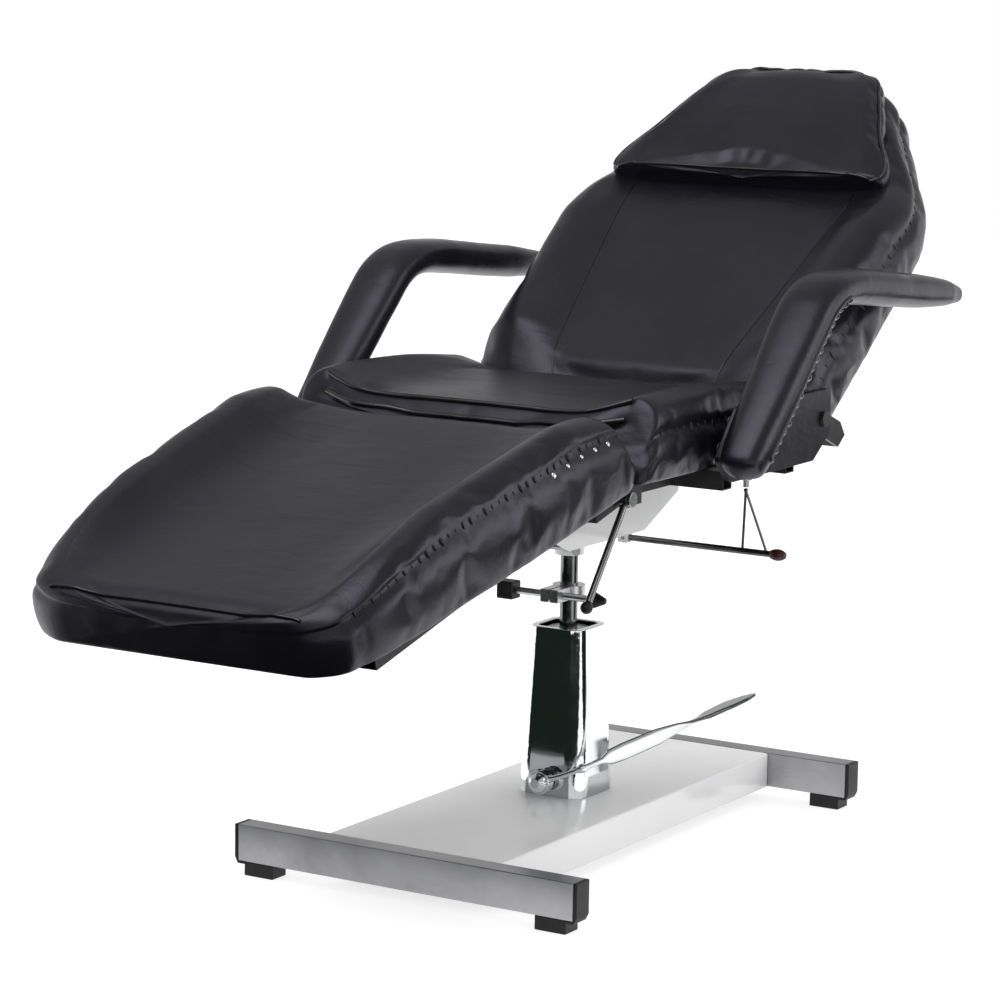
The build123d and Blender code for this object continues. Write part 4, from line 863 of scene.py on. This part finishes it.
def three_point_arc(start, middle, end, count):
    """Points of the arc through three points, without the last one."""
    (ax, ay), (bx, by), (cx, cy) = start, middle, end
    twist = 2 * (ax * (by - cy) + bx * (cy - ay) + cx * (ay - by))
    steps = np.arange(count) / count
    if abs(twist) < 1e-9:
        return [(ax + (cx - ax) * t, ay + (cy - ay) * t) for t in steps]
    sa, sb, sc = ax * ax + ay * ay, bx * bx + by * by, cx * cx + cy * cy
    ox = (sa * (by - cy) + sb * (cy - ay) + sc * (ay - by)) / twist
    oy = (sa * (cx - bx) + sb * (ax - cx) + sc * (bx - ax)) / twist
    radius = math.hypot(ax - ox, ay - oy)
    first = math.atan2(ay - oy, ax - ox)
    turn = math.tau
    through = (math.atan2(by - oy, bx - ox) - first) % turn
    last = (math.atan2(cy - oy, cx - ox) - first) % turn
    if through > last:
        last -= turn
    return [(ox + radius * math.cos(first + last * t), oy + radius * math.sin(first + last * t))
            for t in steps]


def smooth_table(places, table):
    """Columns of a station table, read at places along the pad and eased between stations."""
    stations = np.array(table, float)
    keys = stations[:, 0]
    columns = []
    for column in stations[:, 1:].T:
        slopes = np.gradient(column, keys)
        index = np.clip(np.searchsorted(keys, places, side="right") - 1, 0, len(keys) - 2)
        width = keys[index + 1] - keys[index]
        t = (places - keys[index]) / width
        rise = column[index + 1] - column[index]
        first = np.where(rise * slopes[index] > 0, slopes[index], 0) * width
        last = np.where(rise * slopes[index + 1] > 0, slopes[index + 1], 0) * width
        first = np.sign(first) * np.minimum(abs(first), 3 * abs(rise))
        last = np.sign(last) * np.minimum(abs(last), 3 * abs(rise))
        h00, h10 = 2 * t**3 - 3 * t**2 + 1, t**3 - 2 * t**2 + t
        h01, h11 = 3 * t**2 - 2 * t**3, t**3 - t**2
        columns.append(h00 * column[index] + h10 * first + h01 * column[index + 1] + h11 * last)
    return np.array(columns).T


bottom_count, band_count, roll_count, panel_count = 9, 12, 22, 22
groove_column = bottom_count + band_count
valley_column = groove_column + roll_count
ring_count = 2 * (valley_column + panel_count)
valley_reach, pinch_reach, pinch_width = 9, 3, 1.3
seam_share, crest_share, crown_share = 0.7, 0.42, 0.75
rake_power, rake_from, rake_span = 1.5, 0.62, 0.2
cap_rows, cap_ease = 5, 0.8
side_draw = 0.008


def pad_ring(half, low, flat, crest, roll, draw, crown, groove):
    """Closed cross section of a pad, from the middle of its underside round by the right side.

    The side stands as a band up to a groove, a raised roll goes over the crest to a valley, and a crowned
    panel spans between the two valleys. Gives the points; their count is the same for every ring.
    """
    foot = (half - draw, low)
    seam = (half - draw * seam_share, low + (flat + crest - low) * groove)
    top = (half - roll * crest_share, flat + crest)
    valley = (half - roll, flat)
    belly = (half, (foot[1] + seam[1]) / 2)
    right = [(foot[0] * t / bottom_count, low) for t in range(bottom_count)]
    right += three_point_arc(foot, belly, seam, band_count)
    right += three_point_arc(seam, top, valley, roll_count)
    right += three_point_arc(valley, (valley[0] / 2, flat + crown * crown_share), (0.0, flat + crown),
                             panel_count)
    right.append((0.0, flat + crown))
    left = [(-x, y) for x, y in reversed(right[1:-1])]
    return np.array(right + left)


def pad_rings(places, start, end, table, valley_ease, pinch=0.004):
    """Rings of a pad in its own frame: x across, along its length, and up, its side grooves pinched in."""
    rows = smooth_table(places, table)
    rings = np.array([pad_ring(*row) for row in rows])
    along = start + (end - start) * places
    grid = np.empty((len(places), ring_count, 3))
    grid[:, :, 0] = rings[:, :, 0]
    grid[:, :, 1] = along[:, None]
    grid[:, :, 2] = rings[:, :, 1]
    for step in range(-pinch_reach, pinch_reach + 1):
        draw = pinch * math.exp(-(step / pinch_width) ** 2)
        grid[:, groove_column + step, 0] -= draw
        grid[:, ring_count - groove_column + step, 0] += draw
    soft = np.zeros(ring_count, bool)
    for middle in (valley_column, ring_count - valley_column):
        soft[middle - valley_reach: middle + valley_reach + 1] = True
    for _ in range(valley_ease):
        smooth = (np.roll(grid, 1, axis=1) + np.roll(grid, -1, axis=1)) / 2
        grid[:, soft, 2] = smooth[:, soft, 2]
        grid[:, soft, 0] = smooth[:, soft, 0]
    return grid


def pad_table(shares, half, low, flat, bolster, roll, groove, crown=0.003):
    """Stations of a pad: a place and shares of its half width, its height, its bolsters and its rolls."""
    return [(place, half * wide, low, low + (flat - low) * high, bolster * crest, roll * rolled, side_draw,
             crown, groove) for place, wide, high, crest, rolled in shares]


def rake(grid, count, amount):
    """Lean the ends of a pad's side rolls back from its first end: most at the crest, not at the panel."""
    for row in range(count):
        ring = grid[row]
        low, crest = ring[:, 2].min(), ring[:, 2].max()
        high = np.clip((ring[:, 2] - low) / (crest - low), 0, 1) ** rake_power
        side = np.clip((abs(ring[:, 0]) / abs(ring[:, 0]).max() - rake_from) / rake_span, 0, 1)
        ring[:, 1] += amount * (1 - row / count) ** 2 * high * side


def end_cap(ring, bulge):
    """Rings that close a pad's end: the ring drawn in to its middle, with the face swelling outwards."""
    middle = ring.mean(axis=0)
    rings = []
    for step in range(1, cap_rows + 1):
        t = (step / (cap_rows + 1)) ** cap_ease
        drawn = middle + (ring - middle) * (1 - t)
        rings.append(drawn + np.array(bulge) * math.sin(t * math.pi / 2))
    return rings, middle + np.array(bulge)


over_columns = list(range(groove_column, ring_count - groove_column + 1))
under_columns = list(range(bottom_count + 1)) + list(range(ring_count - bottom_count, ring_count))
seam_columns = [groove_column, ring_count - groove_column]
fill_frames, fill_cap = 20, 0.005
fill_cloth = {"quality": 4, "mass": 0.3, "air_damping": 4.0, "tension_stiffness": 12.0,
              "compression_stiffness": 12.0, "shear_stiffness": 4.0, "bending_stiffness": 1.2,
              "shrink_min": -0.007, "use_pressure": True}


def filled_out(piece, pinned, pressure):
    """Let the skin fill out by cloth simulation between its pinned seams; no point moves past the cap."""
    before = coordinates(piece.data)
    seams = piece.vertex_groups.new(name="seams")
    seams.add(pinned, 1.0, "REPLACE")
    cloth = piece.modifiers.new("fill", "CLOTH")
    for label, value in fill_cloth.items():
        setattr(cloth.settings, label, value)
    cloth.settings.uniform_pressure_force = pressure
    cloth.settings.vertex_group_mass = seams.name
    cloth.settings.effector_weights.gravity = 0.0
    cloth.collision_settings.use_collision = False
    cloth.point_cache.frame_start = 1
    cloth.point_cache.frame_end = fill_frames
    for step in range(1, fill_frames + 1):
        scene.frame_set(step)
    graph = bpy.context.evaluated_depsgraph_get()
    after = coordinates(piece.evaluated_get(graph).data)
    piece.modifiers.remove(cloth)
    piece.vertex_groups.remove(seams)
    scene.frame_set(1)
    move = after - before
    length = np.linalg.norm(move, axis=1)
    move *= np.minimum(1.0, fill_cap / np.maximum(length, 1e-9))[:, None]
    piece.data.vertices.foreach_set("co", (before + move).ravel())
    piece.data.update()


def subdivided(draft):
    """Mesh of a passing object, subdivided once and smooth."""
    finer = draft.modifiers.new("finer", "SUBSURF")
    finer.levels = finer.render_levels = 1
    result = evaluated_mesh(draft)
    shaded_smooth(result)
    return result


def upholstered(name, grid, swell, pose, pressure, body, node):
    """Padded cover from its ring grid: closed ends that swell out, a skin that is filled out and subdivided.

    The pose is the pivot and the angle of the frame that the grid is drawn in; None is the chair's own.
    """
    first_rings, first_middle = end_cap(grid[0], (0, swell[0], 0))
    last_rings, last_middle = end_cap(grid[-1], (0, swell[1], 0))
    rings = first_rings[::-1] + list(grid) + last_rings
    mesh = closed_mesh(node + "_skin", rings, first_middle, last_middle)
    if pose:
        mesh.vertices.foreach_set("co", tilted(coordinates(mesh), *pose).ravel())
    draft = drafted(name, mesh)
    pinned = [row * ring_count + column for row in range(len(rings))
              for column in under_columns + seam_columns]
    filled_out(draft, pinned, pressure)
    piece = piece_from(name, subdivided(draft), vinyl, body, "black_vinyl", node)
    return piece


def surface_line(piece, rows, columns, lift=0.0):
    """Places and outward directions of grid vertices of a pad; rows or columns may be one number."""
    rows, columns = np.broadcast_arrays(np.array(rows), np.array(columns))
    places, outward = traced(piece.data, [int(row) * ring_count + int(column)
                                          for row, column in zip(rows, columns)])
    outward = np.array(outward)
    return np.array(places) + outward * lift, outward


def piped(name, lines, body, radius):
    """Vinyl piping along lines on a cushion."""
    grown(name, lines, cord_tree, piping_vinyl, body, "black_vinyl", Radius=radius)


def puckered(name, piece, rows, body, spacing, size, spread):
    """Puckers along both side grooves of a cushion, where its cover is pulled in."""
    lines = [surface_line(piece, rows, column) for column in seam_columns]
    grown(name, lines, repeat_tree, vinyl, body, "black_vinyl", Spacing=spacing, Size=size, Spread=spread)


# Leg rest cushion: foam on its board under one piece of vinyl. The raised rolls along both sides fade
# towards the foot end, the side band is pulled in under them and nailed, and a piped seam crosses the end.
leg_half = 0.283
leg_foot_share = 0.241 / 0.283
leg_low, leg_flat, leg_roll = 0.0155, 0.086, 0.084
leg_rear, leg_length = 0.010, 0.616
leg_rows = 76
leg_shares = (
    (0.0, 0.97, 0.83, 0.22, 1.0),
    (0.05, 1.0, 0.985, 0.64, 1.0),
    (0.12, 1.0, 1.0, 0.85, 1.0),
    (0.2, 0.995, 1.0, 1.0, 1.0),
    (0.62, leg_foot_share * 1.095, 1.0, 0.97, 1.0),
    (0.8, leg_foot_share * 1.05, 0.995, 0.62, 0.95),
    (0.92, leg_foot_share * 0.985, 0.985, 0.26, 0.85),
    (0.975, leg_foot_share * 0.91, 0.965, 0.10, 0.75),
    (1.0, leg_foot_share * 0.77, 0.92, 0.05, 0.6),
)
leg_bolster = 0.050
leg_table = pad_table(leg_shares, leg_half, leg_low, leg_flat, leg_bolster, leg_roll, groove=0.82)
leg_grid = pad_rings(np.linspace(0, 1, leg_rows), leg_rear, -leg_length, leg_table, valley_ease=40,
                     pinch=0.007)
rake(leg_grid, count=10, amount=-0.026)
leg_piece = upholstered("leg_rest_cushion", leg_grid, swell=(0.004, -0.007), pose=(leg_pivot, leg_drop),
                        pressure=0.7, body="leg_rest", node="leg_cushion")

piping_radius, piping_lift, piping_short = 0.0024, 0.0012, 9
nail_size = (0.0085, 0.0085, 0.0035)
leg_edge_row = cap_rows + leg_rows - 2
leg_groove_rows = range(cap_rows + 2, cap_rows + leg_rows - 6)
leg_nail_rows = range(cap_rows + 8, cap_rows + 24)
leg_nail_columns = (groove_column - 1, ring_count - groove_column + 1)
leg_edge_columns = over_columns[piping_short:-piping_short]
piped("leg_rest_piping", [surface_line(leg_piece, leg_edge_row, leg_edge_columns, piping_lift)], "leg_rest",
      piping_radius)
puckered("leg_rest_puckers", leg_piece, leg_groove_rows, "leg_rest", spacing=0.0145,
         size=(0.006, 0.015, 0.006), spread=0.8)
grown("leg_rest_nails", [surface_line(leg_piece, leg_nail_rows, column) for column in leg_nail_columns],
      repeat_tree, chrome, "leg_rest", "chrome", Spacing=0.031, Size=nail_size, Spread=0.3)

# Seat cushion: foam under vinyl on the seat board, shorter than the others, with raised rolls along both
# sides. Its rounded front laps over the leg rest, and two piped folds cross it there.
seat_half, seat_low, seat_flat, seat_roll = 0.283, 0.5605, 0.636, 0.084
seat_front, seat_back = -0.289, 0.131
seat_bolster, seat_rows = 0.031, 56
seat_shares = (
    (0.0, 0.975, 0.74, 0.3, 1.0),
    (0.07, 0.995, 0.985, 0.9, 1.0),
    (0.2, 1.0, 1.0, 1.0, 1.0),
    (0.8, 1.0, 1.0, 0.62, 1.0),
    (0.93, 0.99, 0.96, 0.45, 1.0),
    (1.0, 0.965, 0.62, 0.15, 1.0),
)
seat_table = pad_table(seat_shares, seat_half, seat_low, seat_flat, seat_bolster, seat_roll, groove=0.6)
seat_grid = pad_rings(np.linspace(0, 1, seat_rows), seat_front, seat_back, seat_table, valley_ease=25)
rake(seat_grid, count=10, amount=0.034)
seat_piece = upholstered("seat_cushion_cover", seat_grid, swell=(-0.005, 0.004), pose=None, pressure=0.9,
                         body="bed", node="seat_cushion")

seat_columns = range(valley_column - valley_reach, ring_count - valley_column + valley_reach + 1)
seat_front_radius, seat_front_lift, pucker_size = 0.0042, 0.001, (0.0045, 0.020, 0.0045)
seat_lines = [surface_line(seat_piece, cap_rows + row, seat_columns, seat_front_lift) for row in (1, 4)]
seat_groove_rows = range(cap_rows + 6, cap_rows + seat_rows - 3)
piped("seat_front_rolls", seat_lines, "bed", seat_front_radius)
puckered("seat_puckers", seat_piece, seat_groove_rows, "bed", spacing=0.019, size=pucker_size, spread=0.6)

# Back cushion: foam under vinyl on the back board, a sunken middle panel sewn between two wide rolls. Above
# the shoulders it narrows to the head end, where the pillow lies.
back_half, back_low, back_flat, back_roll = 0.283, -0.0575, 0.031, 0.084
back_start, back_end = 0.002, 0.690
back_bolster, back_rows = 0.027, 84
back_shares = (
    (0.0, 0.96, 0.84, 0.1, 1.75),
    (0.045, 0.99, 0.99, 0.25, 1.75),
    (0.12, 1.0, 1.0, 1.0, 1.65),
    (0.5, 1.0, 1.0, 1.0, 1.2),
    (0.6, 0.985, 1.0, 0.5, 1.1),
    (0.67, 0.93, 1.0, 0.14, 1.0),
    (0.78, 0.79, 1.0, 0.12, 0.9),
    (0.9, 0.62, 0.99, 0.12, 0.8),
    (0.97, 0.52, 0.95, 0.1, 0.7),
    (1.0, 0.42, 0.86, 0.08, 0.6),
)
back_table = pad_table(back_shares, back_half, back_low, back_flat, back_bolster, back_roll, groove=0.62,
                       crown=0.002)
back_grid = pad_rings(np.linspace(0, 1, back_rows), back_start, back_end, back_table, valley_ease=12)
back_piece = upholstered("back_cushion_cover", back_grid, swell=(-0.002, 0.006),
                         pose=(back_pivot, back_raise), pressure=0.7, body="back",
                         node="back_cushion")

back_panel_columns = range(valley_column, ring_count - valley_column + 1)
back_panel_rows = range(cap_rows + 1, cap_rows + 52)
back_seam_columns = (valley_column, ring_count - valley_column)
back_groove_rows = range(cap_rows + 3, cap_rows + back_rows - 4)
back_seam_radius, back_piping_lift = 0.0012, 0.0015
piped("back_panel_piping", [surface_line(back_piece, cap_rows + 1, back_panel_columns, back_piping_lift)],
      "back", piping_radius)
piped("back_panel_seams", [surface_line(back_piece, back_panel_rows, column) for column in back_seam_columns],
      "back", back_seam_radius)
puckered("back_puckers", back_piece, back_groove_rows, "back", spacing=0.021, size=pucker_size, spread=0.6)

# Pillow: a wedge of foam, thick at its lower edge, in a vinyl cover sewn from a top panel and a border with
# piping between them. It lies on the back cushion and is held there.
pillow_start, pillow_end = 0.436, 0.682
pillow_half, pillow_low = 0.226, 0.0345
pillow_rows = 44
pillow_shares = (
    (0.0, 0.985, 0.030),
    (0.06, 1.0, 0.030),
    (0.4, 0.84, 0.036),
    (0.75, 0.68, 0.038),
    (0.93, 0.57, 0.034),
    (1.0, 0.46, 0.022),
)
pillow_table = [
    (place, pillow_half * wide, pillow_low, pillow_low + rise, 0.002, 0.05, 0.003, 0.006, 0.75)
    for place, wide, rise in pillow_shares
]
pillow_grid = pad_rings(np.linspace(0, 1, pillow_rows), pillow_start, pillow_end, pillow_table,
                        valley_ease=20)
pillow_piece = upholstered("head_pillow_cover", pillow_grid, swell=(-0.003, 0.004),
                           pose=(back_pivot, back_raise), pressure=1.2, body="back",
                           node="head_pillow")

pillow_first, pillow_last = cap_rows, cap_rows + pillow_rows - 1
pillow_border = [surface_line(pillow_piece, row, over_columns, piping_lift)
                 for row in (pillow_first, pillow_last)]
pillow_border += [surface_line(pillow_piece, range(pillow_first, pillow_last + 1), column, piping_lift)
                  for column in seam_columns]
piped("pillow_piping", pillow_border, "back", piping_radius)

# Arms: an upholstered side board on each side of the seat, and on it a padded arm, a leaning post and a
# nearly level rest in one tube of foam and vinyl round a board, drawn to a point at its rear end.
arm_path = ((-0.1440, 0.5680), (-0.1300, 0.5850), (-0.0420, 0.6820), (0.012, 0.739), (0.046, 0.769),
            (0.090, 0.785), (0.162, 0.7845), (0.300, 0.7690), (0.444, 0.7535), (0.512, 0.7435))
arm_stations = (
    (0.0, 0.0265, 0.0200, 0.3380), (0.012, 0.0300, 0.0255, 0.3380), (0.05, 0.0335, 0.0275, 0.3380),
    (0.15, 0.0365, 0.0265, 0.3385), (0.30, 0.0405, 0.0250, 0.3375), (0.42, 0.0410, 0.0240, 0.3375),
    (0.55, 0.0385, 0.0250, 0.3375), (0.80, 0.0345, 0.0240, 0.3385), (0.90, 0.0310, 0.0200, 0.3390),
    (0.96, 0.0215, 0.0135, 0.3400), (1.0, 0.0045, 0.0035, 0.3420),
)
arm_rings, arm_sides, arm_squareness = 130, 40, 2.6
arm_trim_rows = range(5, 56)
arm_waves, arm_wave_width, arm_wave_thick = 22, 0.012, 0.02
arm_foot_swell, arm_tip_swell = 0.7, 0.5


def arm_mesh(name, side):
    """Skin of one arm round its bent middle line, closed at the foot and at the pointed end."""
    line = smooth_path([(0.0, y, z) for y, z in arm_path], arm_rings)
    share = np.linspace(0, 1, arm_rings)
    stations = np.array(arm_stations)
    wide, thick, middle = (np.interp(share, stations[:, 0], stations[:, i]) for i in (1, 2, 3))
    soft = np.array([noise.noise(Vector((p[1] * arm_waves, p[2] * arm_waves, side * 3.0))) for p in line])
    line[:, 0] = side * middle
    rings = section_rings(line, np.tile((1.0, 0.0, 0.0), (arm_rings, 1)), wide * (1 + arm_wave_width * soft),
                          thick * (1 + arm_wave_thick * soft), arm_squareness, arm_sides)
    foot = line[0] + (line[0] - line[3]) * arm_foot_swell
    tip = line[-1] + (line[-1] - line[-3]) * arm_tip_swell
    return closed_mesh(name, rings, foot, tip)


arm_trims = (
    ("_arm_piping", 1, cord_tree, piping_vinyl, "black_vinyl", {"Radius": 0.0026}),
    ("_arm_pleats", 2, repeat_tree, piping_vinyl, "black_vinyl",
     {"Spacing": 0.0148, "Size": (0.0085, 0.014, 0.008), "Spread": 0.35}),
    ("_arm_nails", 3, repeat_tree, machined_steel, "machined_steel",
     {"Spacing": 0.0148, "Size": (0.0060, 0.0060, 0.0060), "Spread": 0.5}),
)
board_shorter = 0.97
for side_name in ("left", "right"):
    board = dressed(side_name + "_side_board", padded_edge, vinyl, "bed", segments=3)
    places = coordinates(board.data)
    rear = places[:, 1].max()
    places[:, 1] = rear - (rear - places[:, 1]) * board_shorter
    board.data.vertices.foreach_set("co", places.ravel())
    board.data.update()
for side_name, side in (("left", -1), ("right", 1)):
    skin = subdivided(drafted("arm", arm_mesh(side_name + "_arm_skin", side)))
    arm = piece_from(side_name + "_arm_cover", skin, vinyl, "bed", "black_vinyl", side_name + "_arm_pad",
                     side_name + "_arm_board")
    for trim, step, tree, material, slot, values in arm_trims:
        column = step if side > 0 else arm_sides // 2 - step
        line = traced(skin, [row * arm_sides + column for row in arm_trim_rows])
        grown(side_name + trim, [line], tree, material, "bed", slot, **values)
